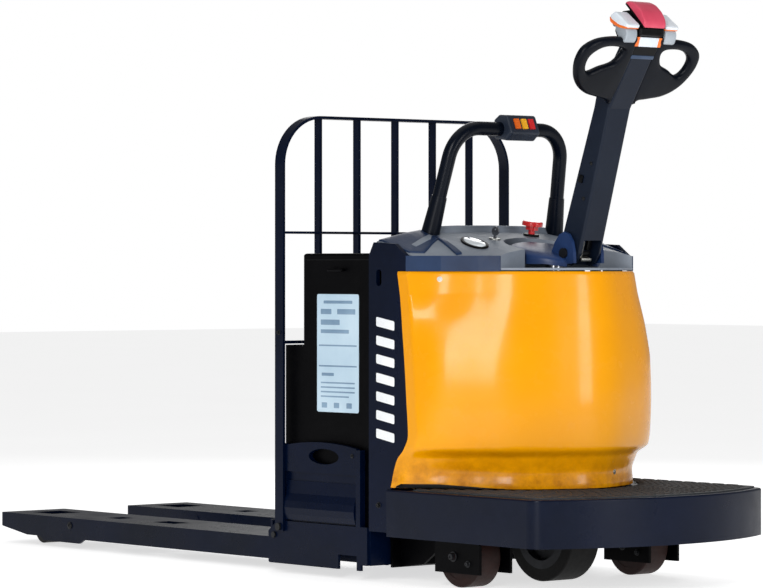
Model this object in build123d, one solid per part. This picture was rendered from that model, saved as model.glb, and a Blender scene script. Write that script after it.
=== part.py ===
from build123d import *
import math
import os

os.makedirs("parts", exist_ok=True)

# Electric rider pallet truck. Millimetres, +Z up, forks toward -X, operator platform toward +X.
# Drawn about the load backrest plane (X = 0) and written out about the middle of its length.

# ---------------------------------------------------------------- driving dimensions
FORK_TIP = -1408.0       # fork tip
DECK_END = 1114.0        # crown of the arched platform end
X_MID = (FORK_TIP + DECK_END) / 2.0
FORK_SPREAD = 685.0      # over both forks
FORK_W = 225.0
FORK_TOP = 88.0
FORK_BOT = 28.0
LIFT = 120.0             # fork lift travel
BODY_HALF = 399.0        # half width of body side plates
REST_HALF = 405.0        # half width of the load backrest
REST_H = 1219.0
STEER_X = 641.0          # steering axis
DRIVE_R, DRIVE_W = 120.0, 100.0
CASTER_X, CASTER_Y = 659.0, 297.0
CASTER_R, CASTER_W, TRAIL = 80.0, 70.0, 14.0
LOAD_R = 41.0
ARM_X, ARM_Z = -1049.0, 66.0          # load-wheel arm pivot
LOAD_X = -1278.0                      # load-wheel axle
DECK_Z0, DECK_Z1 = 121.0, 242.0
COVER_Z0, COVER_Z1 = 248.0, 803.0
TILLER_X, TILLER_Z = 736.0, 850.0     # tiller pivot pin
KINK = (857.0, 1228.0)                # tiller kink, in the XZ plane
NECK = (0.553, 0.833)                 # direction of the upper arm
CYL_X = 436.0                         # lift cylinder axis

written = []


def save(name, shape):
    moved = Pos(-X_MID, 0, 0) * shape
    solids = moved.solids()
    out = solids[0] if len(solids) == 1 else Compound(children=list(solids))
    export_step(out, f"parts/{name}.step")
    written.append(name)


def bx(x0, x1, y0, y1, z0, z1):
    return Pos((x0 + x1) / 2, (y0 + y1) / 2, (z0 + z1) / 2) * Box(abs(x1 - x0), abs(y1 - y0), abs(z1 - z0))


def cz(x, y, z0, z1, r):
    return Pos(x, y, (z0 + z1) / 2) * Cylinder(r, abs(z1 - z0))


def cy(x, z, y0, y1, r):
    return Pos(x, (y0 + y1) / 2, z) * Rot(90, 0, 0) * Cylinder(r, abs(y1 - y0))


def cx(y, z, x0, x1, r):
    return Pos((x0 + x1) / 2, y, z) * Rot(0, 90, 0) * Cylinder(r, abs(x1 - x0))


def prism(pts, direction, length):
    """Closed polygon through 3-D points, extruded along a direction."""
    face = make_face(Polyline(*pts, close=True))
    return extrude(face, amount=length, dir=direction)


def xz(pts, y0, y1):
    return prism([(x, y0, z) for x, z in pts], (0, 1, 0), y1 - y0)


def xy(pts, z0, z1):
    return prism([(x, y, z0) for x, y in pts], (0, 0, 1), z1 - z0)


def yz(pts, x0, x1):
    return prism([(x0, y, z) for y, z in pts], (1, 0, 0), x1 - x0)


def both(shape):
    return [shape, mirror(shape, Plane.XZ)]


def soft(shape, r, pick=None):
    """Rounds the picked edges, or leaves the shape alone where it will not round."""
    edges = pick(shape) if pick else shape.edges()
    for rr in (r, r * 0.6, r * 0.35):
        try:
            out = fillet(edges, rr)
            if out.is_valid:
                return out
        except Exception:
            pass
    print("unrounded", r)
    return shape


def turned(shape, point, angle_y):
    """Turns a shape about a Y axis through an XZ point."""
    return Pos(point[0], 0, point[1]) * Rot(0, angle_y, 0) * Pos(-point[0], 0, -point[1]) * shape


# ================================================================ forks and lift carriage
def fork(side):
    yc = side * (FORK_SPREAD - FORK_W) / 2
    h = FORK_W / 2
    y0, y1 = yc - h, yc + h
    tip = FORK_TIP
    body = xz([(tip, 50), (tip + 4, 49), (tip + 140, FORK_BOT), (60, FORK_BOT), (60, FORK_TOP), (tip + 10, FORK_TOP), (tip, FORK_TOP - 6)], y0, y1)
    skirt = xz([(-1206, FORK_BOT + 2), (-1180, FORK_BOT - 12), (-1004, FORK_BOT - 12), (-976, FORK_BOT + 2)], y0, y1)
    body = body + skirt
    corners = body.edges().filter_by(Axis.Z).group_by(Axis.X)[0]
    body = soft(body, 16, lambda s: corners)
    inner = bx(tip + 78, 50, y0 + 7, y1 - 7, FORK_BOT - 40, FORK_TOP - 8)
    inner2 = bx(tip + 40, tip + 79, y0 + 20, y1 - 20, 49, FORK_TOP - 8)
    body = body - inner - inner2
    # openings in the top plate: wheel slot, view hole and rod slot
    body -= bx(LOAD_X - 52, LOAD_X + 52, yc - 50, yc + 50, FORK_TOP - 20, FORK_TOP + 5)
    slot = bx(-985, -925, yc - 28, yc + 28, FORK_TOP - 20, FORK_TOP + 5)
    slot2 = bx(-760, -660, yc - 30, yc + 30, FORK_TOP - 20, FORK_TOP + 5)
    body = body - slot - slot2
    # pivot pin bosses and the pin across the fork
    body += cy(ARM_X, ARM_Z - 0, y0 + 7, y0 + 30, 17) + cy(ARM_X, ARM_Z, y1 - 30, y1 - 7, 17)
    body = body - cy(ARM_X, ARM_Z, y0 - 5, y1 + 5, 9)
    body = body - bx(-56, 62, y0 - 1, y1 + 1, FORK_TOP - 1, FORK_TOP + 4)
    pin = cy(ARM_X, ARM_Z, y0 - 1.5, y1 + 1.5, 9)
    return body + pin


for side, name in ((-1, "left"), (1, "right")):
    save(f"fork_{name}", fork(side))

# carriage: side plates, floor, rear wall, lift bracket, gate guide posts
car = []
for s in (-1, 1):
    ya, yb = (s * 389, s * 397) if s > 0 else (-397, -389)
    side = xz([(-55, 28), (-50, 25), (238, 25), (238, 63), (314, 63), (314, 25), (330, 25), (330, 139), (-17, 139), (-55, 110)], min(ya, yb), max(ya, yb))
    car.append(side)
    y_in, y_out = (381.5, 399) if s > 0 else (-399, -381.5)
    post = bx(313, 330, y_in, y_out, 139, 338)
    car.append(post)
    car.append(bx(-2, 12, s * 381.5, s * 397, 139, 345))
    car.append(bx(-2, 330, s * 379.3, s * 397, 131, 139))
    car.append(bx(12, 14, s * 381.5, s * 389, 139, 345))
floor = bx(-55, 362, -389.5, 389.5, FORK_TOP - 1, 96)
front = bx(-55, -47, -389.5, 389.5, 40, 139)
rear = bx(355, 362, -389.5, 389.5, 40, 620)
rear2 = bx(329, 356, -397, -389, 40, 139) + bx(329, 356, 389, 397, 40, 139)
bracket = xz([(361, 470), (361, 540), (372, 540), (464, 500), (464, 480), (361, 480)], -40, 40)
carriage = floor + front + rear + rear2 + bracket
for s in (-1, 1):
    carriage += bx(100, 334, s * 304, s * 312, 36, FORK_TOP)      # longitudinal members under the floor
for c in car:
    carriage += c
for s in (-1, 1):
    carriage -= bx(-70, 60.5, s * (FORK_SPREAD / 2 - FORK_W - 0.5), s * (FORK_SPREAD / 2 + 0.5), 20, FORK_TOP - 1)
save("carriage_frame", carriage)

# nylon guide shoes bolted to the rear wall, running in the chassis channels
shoes = []
for s in (-1, 1):
    for z0 in (300, 540):
        shoes.append(bx(362, 395, s * 337, s * 359, z0, z0 + 60))
save("guide_shoes", Compound(children=shoes))

# lift ram: plunger carried by the bracket, runs in the cylinder
save("lift_ram", cz(CYL_X, 0, 150, 478, 20) + cz(CYL_X, 0, 470, 480, 26))

# ================================================================ battery
case = bx(74, 354, -379, 379, 96, 850) + bx(-3, 76, -379, 379, 96, 607)
case = soft(case, 7, lambda s: s.edges().filter_by(lambda e: e.center().Z > 840))
hollow = bx(84, 344, -369, 369, 106, 842) + bx(7, 90, -369, 369, 106, 597)
case = case - hollow
save("battery_case", case)
cells = [bx(12 + i * 66, 74 + i * 66, -360 + j * 182, -182 + j * 182, 107, 520) for i in range(5) for j in range(4)]
save("battery_cells", Compound(children=cells))

# ================================================================ battery side gates
def gate(s):
    y_out = 396.6
    y_in = 383.0
    top = []
    for i in range(13):
        x = 15 + (311 - 15) * i / 12
        t = (x - 163) / 148
        top.append((x, 341 + 12 * (1 - t * t)))
    plate = xz([(15, 140), (311, 140)] + top[::-1], y_in, y_in + 6)
    upper = xz([(15, 272), (311, 272)] + top[::-1], y_in + 4, y_out)
    lower = yz([(y_in + 4, 142), (y_out, 144), (y_out + 4, 158), (y_out + 6, 176), (y_out + 4, 194), (y_out - 3, 214), (y_out - 5, 248), (y_in + 4, 248)], 18.5, 308)
    g = plate + upper + lower
    hole = Pos(178, 390, 316) * Rot(90, 0, 0) * extrude(Ellipse(62, 20.5), amount=40, both=True)
    g = g - hole
    return g if s > 0 else mirror(g, Plane.XZ)


save("battery_gate_left", gate(-1))
save("battery_gate_right", gate(1))

# ================================================================ load backrest
W = 34 / 2
outer = extrude(make_face(FilletPolyline((-17, -REST_HALF, 112), (-17, -REST_HALF, REST_H), (-17, REST_HALF, REST_H), (-17, REST_HALF, 112), radius=132, close=False) + Line((-17, REST_HALF, 112), (-17, -REST_HALF, 112))), amount=34, dir=(1, 0, 0))
inner = extrude(make_face(FilletPolyline((-18, -REST_HALF + 8, 100), (-18, -REST_HALF + 8, REST_H - 8), (-18, REST_HALF - 8, REST_H - 8), (-18, REST_HALF - 8, 100), radius=124, close=False) + Line((-18, REST_HALF - 8, 100), (-18, -REST_HALF + 8, 100))), amount=36, dir=(1, 0, 0))
rest = outer - inner
rest += bx(-17, 17, -398, 398, 610, 618)
for i in range(5):
    y = -270 + 135 * i
    rest += bx(-11, 11, y - 4.5, y + 4.5, 612, REST_H - 6)
rest += cx(0, 0, 0, 1, 1).moved(Location((0, 0, 614))) if False else Pos(14, 0, 906) * Rot(90, 0, 0) * Cylinder(3.5, 2 * REST_HALF - 10)
save("load_backrest", rest)
bolts = []
for s in (-1, 1):
    for z in (123,):
        bolts.append(cy(0, z, s * 405, s * 411, 10))
    bolts.append(cy(-30, 100, s * 397, s * 402, 8))
save("carriage_bolts", Compound(children=bolts))

# ================================================================ load wheels, arms and pull rods
for s, name in ((-1, "left"), (1, "right")):
    yc = s * (FORK_SPREAD - FORK_W) / 2
    ang = math.atan2(ARM_Z - LOAD_R, ARM_X - LOAD_X)
    arm = []
    for t in (-1, 1):
        ya = yc + t * 52
        pts = [(LOAD_X - 14, LOAD_R + 10), (LOAD_X - 14, LOAD_R - 14), (LOAD_X + 12, LOAD_R - 15), (ARM_X + 2, ARM_Z - 12.5), (ARM_X + 12, ARM_Z - 4), (ARM_X + 7, ARM_Z + 10), (LOAD_X + 10, LOAD_R + 14)]
        plate = xz(pts, ya - 4, ya + 4)
        arm.append(plate)
    a = arm[0] + arm[1]
    a += cy(ARM_X, ARM_Z, yc - 56, yc + 56, 13.4)
    a += bx(ARM_X - 62, ARM_X - 50, yc - 50, yc + 50, 48, 66)
    # lug and pull-rod pin below the pivot
    lug = xz([(ARM_X - 13, ARM_Z - 4), (ARM_X + 13, ARM_Z - 4), (ARM_X + 8, ARM_Z - 38), (ARM_X - 8, ARM_Z - 38)], yc - 20, yc - 13)
    lug += xz([(ARM_X - 13, ARM_Z - 4), (ARM_X + 13, ARM_Z - 4), (ARM_X + 8, ARM_Z - 38), (ARM_X - 8, ARM_Z - 38)], yc + 13, yc + 20)
    lug += cy(ARM_X, ARM_Z - 30, yc - 20, yc + 20, 5)
    a = a + lug
    a -= cy(ARM_X, ARM_Z, yc - 60, yc + 60, 9.05)
    a -= cy(LOAD_X, LOAD_R, yc - 60, yc + 60, 8)
    save(f"load_arm_{name}", a)
    wheel = cy(LOAD_X, LOAD_R, yc - 46, yc + 46, LOAD_R) + cy(LOAD_X, LOAD_R, yc - 47.7, yc + 47.7, 15)
    wheel = wheel + cy(LOAD_X, LOAD_R, yc - 55.9, yc + 55.9, 7.95)
    save(f"load_wheel_{name}", wheel)
    rod = bx(ARM_X + 24, -70, yc - 9, yc + 9, 31, 43)
    eye = xz([(ARM_X - 10, 28), (ARM_X + 30, 30), (ARM_X + 30, 45), (ARM_X + 10, 50), (ARM_X - 10, 50)], yc - 9, yc + 9)
    slot = bx(ARM_X - 6.8, ARM_X + 6.8, yc - 12, yc + 12, 30.2, 55)
    save(f"pull_rod_{name}", rod + (eye - slot))

# ================================================================ chassis frame
web = []
for s in (-1, 1):
    y0, y1 = s * 142, s * 150
    web.append(bx(380, 1050, y0, y1, 126, 234))
    web.append(bx(482, 752, y0, y1, 230, 268))
ch = bx(372, 380, -330, 330, 34, 800)                       # bulkhead
ch -= bx(371, 381, -62, 62, 400, 720)                       # window for the lift bracket
for w in web:
    ch += w
ch += bx(482, 752, -150, 150, 267, 275) - cz(STEER_X, 0, 260, 280, 112)     # slew ring plate
for s in (-1, 1):
    pan = xz([(372, 34), (466, 46), (515, 80), (515, 130), (372, 130)], min(s * 292, s * 300), max(s * 292, s * 300))
    ch += pan
    plate = bx(545, 773, s * 150, s * 386, 190, 198) - cz(CASTER_X, s * CASTER_Y, 180, 210, 12.05)
    ch += plate
    for xa in (545, 765):
        ch += bx(xa, xa + 8, s * 142, s * 386, 198, 234)
    ch += bx(372, 380, s * 330, s * 386.5, 130, 240)
ch += xz([(372, 34), (466, 46), (466, 52), (372, 40)], -300, 300)
ch += bx(458, 466, -300, 300, 46, 126)
ch += bx(380, 482, -150, 150, 226, 234) - cz(CYL_X, 0, 220, 240, 33)
ch += bx(1042, 1050, -250, 250, 126, 234)
ch += bx(372, 466, -150, 150, 122, 130)
# cut the frame back from the turning drive unit
ch -= cz(STEER_X, 0, 20, 240, 133)
save("chassis_frame", ch)

rails = []
for s in (-1, 1):
    r = bx(380.0, 402, s * 330, s * 366, 130, 800) - bx(379, 396, s * 336, s * 360, 120, 810)
    lip = bx(372, 380, s * 330, s * 336, 240, 800) + bx(372, 380, s * 360, s * 366, 240, 800)
    rails.append(r + lip)
save("guide_rails", Compound(children=[x for x in rails]))

# side panels
EDGE = {248: 456, 290: 468, 322: 482, 345: 505, 384: 524, 470: 518, 560: 511, 650: 502, 730: 494, 803: 481}   # cover's edge on the side panel, by height
panel_pts = [(366, 131), (366, 844), (385, 878), (469, 874), (514, 843), (515, 804.5)] + [(EDGE[z] - 1.0, z + (1.5 if z == 803 else 0)) for z in sorted(EDGE, reverse=True)] + [(454, 243), (441, 242.5), (441, 131)]


def side_panel(s):
    p = xz(panel_pts, 387, BODY_HALF)
    p -= Pos(406, 398, 787) * Rot(90, 0, 0) * extrude(SlotOverall(44, 21, rotation=90), amount=30, both=True)
    p += bx(366, 372, 369, 388, 131, 800)
    return p if s > 0 else mirror(p, Plane.XZ)


save("side_panel_left", side_panel(-1))
save("side_panel_right", side_panel(1))

# ================================================================ platform
def arc_end(inset, z0, z1):
    """Deck plan: straight sides, arched end, rounded corners."""
    yh = BODY_HALF + 5 - inset
    xe = 1000 - inset
    xc = DECK_END - inset
    sk = make_face([Line((442 + inset, -yh), (xe, -yh)), ThreePointArc((xe, -yh), (xc, 0), (xe, yh)), Line((xe, yh), (442 + inset, yh)), Line((442 + inset, yh), (442 + inset, -yh))])
    sol = extrude(sk.moved(Location((0, 0, z0))), amount=z1 - z0)
    corners = sol.edges().filter_by(Axis.Z).group_by(Axis.X)[-1]
    return soft(sol, max(44 - inset, 10), lambda q: corners)


deck = arc_end(0, DECK_Z0, DECK_Z1)
deck = soft(deck, 5, lambda q: q.edges().filter_by(lambda e: e.center().Z > DECK_Z1 - 0.5 and e.center().X > 460))
deck -= arc_end(8, DECK_Z0 - 20, DECK_Z1 - 6)
deck -= bx(430, 451, -388, 388, 110, DECK_Z1 - 6)
deck -= bx(480, 754, -152, 152, 230, 250)
deck -= cz(CYL_X, 0, 230, 250, 34)
deck -= cz(STEER_X, 0, 230, 250, 137)
deck -= cz(CASTER_X, -CASTER_Y, 230, 250, 24) + cz(CASTER_X, CASTER_Y, 230, 250, 24)
save("platform_deck", deck)

# ---------------------------------------------------------------- plan contours of the motor cover
BASE = [(456, -401), (498, -400), (576, -337), (653, -277), (737, -205), (789, -115), (822, 0)]
GROW = {248: -5, 290: -1, 322: 10, 345: 18, 384: 22, 470: 25, 560: 23, 650: 15, 730: 3, 803: -9}


def half_contour(z, inset=0.0):
    """Near half of the cover's plan at height z, from the side panel to the middle."""
    e, g = EDGE[z], GROW[z] - inset
    full = max(0.0, min(1.0, (g + inset) / 22.0)) * 24.0      # the body is squarer at the side than its foot
    pts = [(e, -401 + inset)]
    rel = BASE[1:]
    for i, (x, y) in enumerate(rel):
        if i == 0:
            pts.append((e + 36, -400 + inset))
            continue
        # outward normal of the base contour
        a = BASE[i]
        b = BASE[i + 2] if i + 2 < len(BASE) else (789, 115)
        tx, ty = b[0] - a[0], b[1] - a[1]
        L = math.hypot(tx, ty)
        nx, ny = -ty / L * -1, -tx / L
        k = {1: 1.0, 2: 0.75, 3: 0.35, 4: 0.1, 5: 0.0}[i]
        pts.append((x + nx * (g + full * k), y + ny * (g + full * k)))
    return pts


def full_contour(z, inset=0.0):
    h = half_contour(z, inset)
    return h + [(x, -y) for x, y in h[-2::-1]]


def cover_section(z, inset=0.0, back=0.0, zz=None):
    pts = full_contour(z, inset)
    zz = z if zz is None else zz
    p3 = [(x, y, zz) for x, y in pts]
    a0, a1 = (pts[0][0] - back, pts[0][1], zz), (pts[-1][0] - back, pts[-1][1], zz)
    sp = Spline(*p3[1:-1])
    wires = [Line(p3[0], p3[1]), sp, Line(p3[-2], p3[-1])]
    if back:
        wires = [Line(a0, p3[0])] + wires + [Line(p3[-1], a1)]
    wires.append(Line(a1, a0))
    return make_face(wires)


zs = sorted(EDGE)
outer_c = loft([cover_section(z) for z in zs], ruled=True)
inner_c = loft([cover_section(z, 5.0, 30.0, {248: 240, 803: 810}.get(z, z)) for z in zs], ruled=True)
cover = outer_c - inner_c
for s in (-1, 1):
    cut = Pos(560, s * 350, 250) * Rot(0, 0, s * 38) * Box(170, 60, 24)
    cover -= cut
save("motor_cover", cover)

# rubber mat on the platform, around the cover's foot
mat = arc_end(14, DECK_Z1, DECK_Z1 + 4)
foot = full_contour(248, -9.0)
fp = [(430, -425)] + [(x, y * 1.035) for x, y in foot] + [(430, 425)]
mat -= xy(fp, DECK_Z1 - 1, DECK_Z1 + 6)
save("platform_mat", max(mat.solids(), key=lambda q: q.volume))

# ================================================================ console
T = full_contour(803, 0.0)


def contour_at(inset):
    return full_contour(803, inset)


def mouth(extra, z0, z1):
    """Well around the steering hub and its mouth toward the operator."""
    a = math.radians(78)
    r = 420
    reach = extra / math.cos(math.radians(90 - 78))
    apex = (STEER_X - reach * 0.0, 0)
    pts = [(STEER_X - extra, 0), (STEER_X + r * math.cos(a) - extra, -r * math.sin(a) - 0), (1100, -r), (1100, r), (STEER_X + r * math.cos(a) - extra, r * math.sin(a))]
    return xy(pts, z0, z1) + cz(STEER_X, 0, z0, z1, 132 + extra)


def contour_x(y, inset):
    """X of the cover's top contour at a given Y."""
    pts = contour_at(inset)
    pts = sorted([(p[1], p[0]) for p in pts])
    for (ya, xa), (yb, xb) in zip(pts, pts[1:]):
        if ya <= y <= yb and yb > ya:
            return xa + (xb - xa) * (y - ya) / (yb - ya)
    return pts[0][1] if y < 0 else pts[-1][1]


def ridge_z(y):
    table = [(0, 918), (120, 917), (200, 914), (300, 899), (399, 878)]
    y = abs(y)
    for (ya, za), (yb, zb) in zip(table, table[1:]):
        if ya <= y <= yb:
            return za + (zb - za) * (y - ya) / (yb - ya)
    return 878


def rim(y):
    """Depth of the dished panel behind the ridge."""
    return max(0.0, min(1.0, (262 - abs(y)) / 40.0)) * 9.0


RUN_Y = [-386.8, -360, -330, -300, -262, -222, -190, -150, -115, -60, 0, 60, 115, 150, 190, 222, 262, 300, 330, 360, 386.8]


def console_body(drop, inset, z0):
    secs = []
    for y in RUN_Y:
        yy = max(-386.8 + inset, min(386.8 - inset, y))
        zr = ridge_z(y) - drop
        xcn = contour_x(y, inset + 1.0)
        pts = [(366 + inset, yy, z0), (366 + inset, yy, zr - 34), (384, yy, zr), (398, yy, zr - 1), (404, yy, zr - 2 - rim(y)), (xcn, yy, 843 - drop), (xcn, yy, z0)]
        secs.append(make_face(Polyline(*pts, close=True)))
    return loft(secs, ruled=True)


def panel_at(x, y):
    """Height and slope of the console panel."""
    zr, xc = ridge_z(y) - 2 - rim(y), contour_x(y, 1.0)
    k = (zr - 843) / (xc - 404)
    return zr - (x - 404) * k, math.degrees(math.atan(k))


ctop = console_body(0, 0, 806) - mouth(0, 812, 940)
ctop -= console_body(6, 7, 780) - mouth(6, 700, 960)
ctop -= cz(STEER_X, 0, 790, 830, 60)
KEY = (525.0, -105.0)
ESTOP = (466.0, 78.0)
GAUGE = (552.0, -198.5)
GAUGE_LIFT = 3.0         # the oval plate stands proud of the dished panel


def on_panel(x, y, shape, lift=0.0):
    z, slope = panel_at(x, y)
    return Pos(x, y, z) * Rot(0, slope, 0) * Pos(0, 0, lift) * shape


ctop -= on_panel(*KEY, Cylinder(11, 60) + Pos(0, 0, 10) * Cylinder(16, 20))
ctop -= on_panel(*ESTOP, Cylinder(15, 60) + Pos(0, 0, 10) * Cylinder(22, 20))
ctop -= on_panel(*GAUGE, Cylinder(25, 60))

# fascia bands between the cover and the console top would be one moulding in two handed pieces
fas = []
for s in (-1, 1):
    fo = xy([(x, y) for x, y in full_contour(803, -2.0)] + [(480, 399), (480, -399)], 803.5, 843)
    fi = xy([(x, y) for x, y in full_contour(803, 0.6)] + [(400, 399), (400, -399)], 790, 860)
    f = (fo - fi) - mouth(0, 780, 900)
    f = f & (bx(516, 900, -420, -100, 780, 900) if s < 0 else bx(516, 900, 100, 420, 780, 900))
    fas.append(max(f.solids(), key=lambda q: q.volume))
save("console_fascia", Compound(children=fas))

# gauge, key lock, emergency stop collar
save("charge_gauge", on_panel(*GAUGE, Pos(0, 0, GAUGE_LIFT) * Rot(0, 0, -21.3) * extrude(Ellipse(63, 29), amount=4) + Pos(0, 0, -8) * Cylinder(24.8, 28)))
save("key_lock", on_panel(*KEY, (Pos(0, 0, 2) * Cylinder(15, 4) + Pos(0, 0, -12) * Cylinder(10.8, 24)) - Cylinder(8, 60)))
bow = Pos(0, 0, 22) * Rot(90, 0, 0) * extrude(Ellipse(13, 12), amount=1.5, both=True) - Pos(0, 0, 27) * Rot(90, 0, 0) * Cylinder(3, 8)
save("key", on_panel(*KEY, Pos(0, 0, -8) * Cylinder(7.94, 24) + Pos(0, 0, 7) * Box(9, 2.4, 10) + bow))
save("stop_collar", on_panel(*ESTOP, (Pos(0, 0, 3) * Cylinder(21, 6) + Pos(0, 0, -12) * Cylinder(14.8, 26)) - Cylinder(9, 80)))
head = Pos(0, 0, 24) * Cylinder(17, 14) + Pos(0, 0, 34) * Cylinder(27.5, 12) + Pos(0, 0, 4) * Cylinder(8.7, 40)
head = soft(head, 5, lambda q: q.edges().group_by(Axis.Z)[-1])
save("stop_button", on_panel(*ESTOP, head, 0.0))

# ================================================================ grab bar and control pod
path = FilletPolyline((392, -224, 862), (468, -188, 1177), (468, 188, 1177), (392, 224, 862), radius=88)
bar = sweep(Plane(origin=path @ 0, z_dir=path % 0) * Circle(18.5), path=path)
d0 = path % 0
for s in (-1, 1):
    base = Plane(origin=(392, s * 224, 862), z_dir=(d0.X, -s * abs(d0.Y), d0.Z))
    bar += base * Pos(0, 0, 70) * Cone(26.5, 20.5, 142)
    ctop -= base * Pos(0, 0, 70) * Cone(26.6, 20.6, 142)
save("grab_bar", bar)
save("console_top", max(ctop.solids(), key=lambda q: q.volume))

POD_Y = 16.0
pod = xz([(444, 1152), (492, 1146), (516, 1166), (496, 1213), (462, 1215), (442, 1202)], POD_Y - 52, POD_Y + 52)
pod = soft(pod, 8, lambda q: q.edges())
pod -= cy(468, 1177, -100, 140, 18.6)
FN = (48 / math.hypot(48, 20), 20 / math.hypot(48, 20))     # outward normal of the button face
FC = (506, 1189.5)
btn_angle = math.degrees(math.atan2(FN[0], FN[1]))
pocket = []
for i in (-1, 0, 1):
    at = lambda sh: Pos(FC[0], POD_Y + 25 * i, FC[1]) * Rot(0, btn_angle, 0) * sh
    pod -= at(Pos(0, 0, -4) * Box(28.8, 17.8, 12))
save("control_pod", pod)
for i, nm in ((-1, "lower_button"), (0, "horn_button"), (1, "lift_button")):
    b = Pos(FC[0], POD_Y + 25 * i, FC[1]) * Rot(0, btn_angle, 0) * Pos(0, 0, -0.5) * Box(28, 17, 9)
    save(nm, b)

# ================================================================ hydraulics and electrics under the cover
cyl = cz(CYL_X, 0, 140, 420, 31) - cz(CYL_X, 0, 148, 430, 20.05)
cyl += bx(CYL_X - 40, CYL_X + 40, -40, 40, 130, 140)
save("lift_cylinder", cyl)
pump = cz(440, -225, 250, 400, 48) + bx(395, 485, -270, -180, 400, 455) + cz(440, -225, 455, 480, 20)
save("pump_motor", pump)
save("oil_tank", bx(384, 500, -325, -125, 485, 700) + cz(470, -150, 700, 722, 16))
ctl = bx(384, 440, 70, 320, 300, 560)
for i in range(9):
    ctl += bx(440, 458, 80 + i * 26, 86 + i * 26, 305, 555)
save("motor_controller", ctl)

# ================================================================ drive unit (turns with the tiller)
ring_o = cz(STEER_X, 0, 251, 267, 140) - cz(STEER_X, 0, 240, 280, 108.3)
save("slew_ring_outer", ring_o)
ring_i = cz(STEER_X, 0, 251, 265, 108) - cz(STEER_X, 0, 240, 280, 70)
save("slew_ring_inner", ring_i)
gear = bx(571, 711, 56, 92, 100, 250) + cy(STEER_X, 120, 56, 92, 63) + cz(STEER_X, 0, 243.0, 251, 104) + cz(STEER_X, 0, 251, 300, 69.5)
gear += cy(STEER_X, 120, 49, 57, 22)
gear -= cy(STEER_X, 120, 40, 60, 15.05)
save("drive_gearbox", gear)
motor = cz(STEER_X, 0, 300, 520, 72)
for i in range(18):
    motor += Pos(STEER_X, 0, 410) * Rot(0, 0, i * 20) * Pos(74, 0, 0) * Box(10, 4, 190)
save("drive_motor", motor)
save("parking_brake", cz(STEER_X, 0, 520, 560, 55) + cz(STEER_X, 0, 560, 566, 40))
save("steer_column", cz(STEER_X, 0, 566, 822, 24) + cz(STEER_X, 0, 566, 576, 50) - cz(STEER_X, 0, 560, 830, 14))
hubw = cy(STEER_X, 120, -DRIVE_W / 2, DRIVE_W / 2 - 1.5, 88) - cy(STEER_X, 120, -60, -30, 66) + cy(STEER_X, 120, -60, 56.0, 15) + cy(STEER_X, 120, -52, -30, 40)
save("drive_hub", hubw)
tyre = cy(STEER_X, 120, -DRIVE_W / 2, DRIVE_W / 2 - 1.5, DRIVE_R) - cy(STEER_X, 120, -70, 70, 88)
tyre = soft(tyre, 4, lambda q: q.edges().filter_by(GeomType.CIRCLE).filter_by(lambda e: abs(e.radius - DRIVE_R) < 0.1))
save("drive_tyre", tyre)

# steering hub cover with the two ears that carry the tiller
hub = cz(STEER_X, 0, 822, 880, 118)
hub -= xz([(500, 875.0), (790, 818.0), (790, 900), (500, 900)], -130, 130)      # slanted top face
hub = soft(hub, 5, lambda q: q.edges().group_by(Axis.Z)[-1])
ears = []
for s in (-1, 1):
    e = xz([(680, 824), (686, 850), (700, 878), (717, 898), (734, 905), (750, 899), (763, 880), (770, 852), (771, 824)], min(s * 44, s * 54), max(s * 44, s * 54))
    ears.append(e)
hub += bx(655, 736, -54, 54, 822, 832)
for e in ears:
    hub += e
hub -= cy(TILLER_X, TILLER_Z, -41.5, 41.5, 39)
hub -= cy(TILLER_X, TILLER_Z, -60, 60, 8)
hub -= cy(TILLER_X, TILLER_Z, -64, -54, 14) + cy(TILLER_X, TILLER_Z, 54, 64, 14)
save("steer_hub", hub)
save("tiller_pin", cy(TILLER_X, TILLER_Z, -58, 58, 8) + cy(TILLER_X, TILLER_Z, -61, -54, 13) + cy(TILLER_X, TILLER_Z, 54, 61, 13))

# ================================================================ tiller
lean = math.atan2(KINK[0] - TILLER_X, KINK[1] - TILLER_Z)
dx, dz = math.sin(lean), math.cos(lean)
px, pz = dz, -dx        # perpendicular, toward the operator
nx_, nz_ = NECK
qx, qz = nz_, -nx_
hw0, hw1 = 34.0, 30.0


def pt(base, along, dirv, perp, off):
    return (base[0] + dirv[0] * along + perp[0] * off, base[1] + dirv[1] * along + perp[1] * off)


P = (TILLER_X, TILLER_Z)
lower = [pt(P, -18, (dx, dz), (px, pz), -30), pt(P, -30, (dx, dz), (px, pz), -8), pt(P, -30, (dx, dz), (px, pz), 14), pt(P, -14, (dx, dz), (px, pz), 32), pt(P, 10, (dx, dz), (px, pz), 39), (886, 1217), pt(KINK, 164, NECK, (qx, qz), 27), pt(KINK, 164, NECK, (qx, qz), -27), pt(KINK, 6, NECK, (qx, qz), -29), (829, 1222), pt(P, 30, (dx, dz), (px, pz), -38)]
arm = xz(lower, -39.5, 39.5)
arm = soft(arm, 7, lambda q: q.edges().filter_by(lambda e: abs(e.center().Y) > 39))
# hollow from the operator side: the arm is a folded channel, open at its foot
arm -= turned(bx(TILLER_X + 4, TILLER_X + 60, -30, 30, TILLER_Z - 60, TILLER_Z + 46), P, math.degrees(lean))
arm -= cy(TILLER_X, TILLER_Z, -60, 60, 8.05)
save("tiller_arm", arm)
lug_b = turned(bx(TILLER_X + 2, TILLER_X + 8, -26, 26, TILLER_Z - 18, TILLER_Z + 40) + bx(TILLER_X + 6, TILLER_X + 24, -8, 14, TILLER_Z + 2, TILLER_Z + 8), P, math.degrees(lean))

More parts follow.
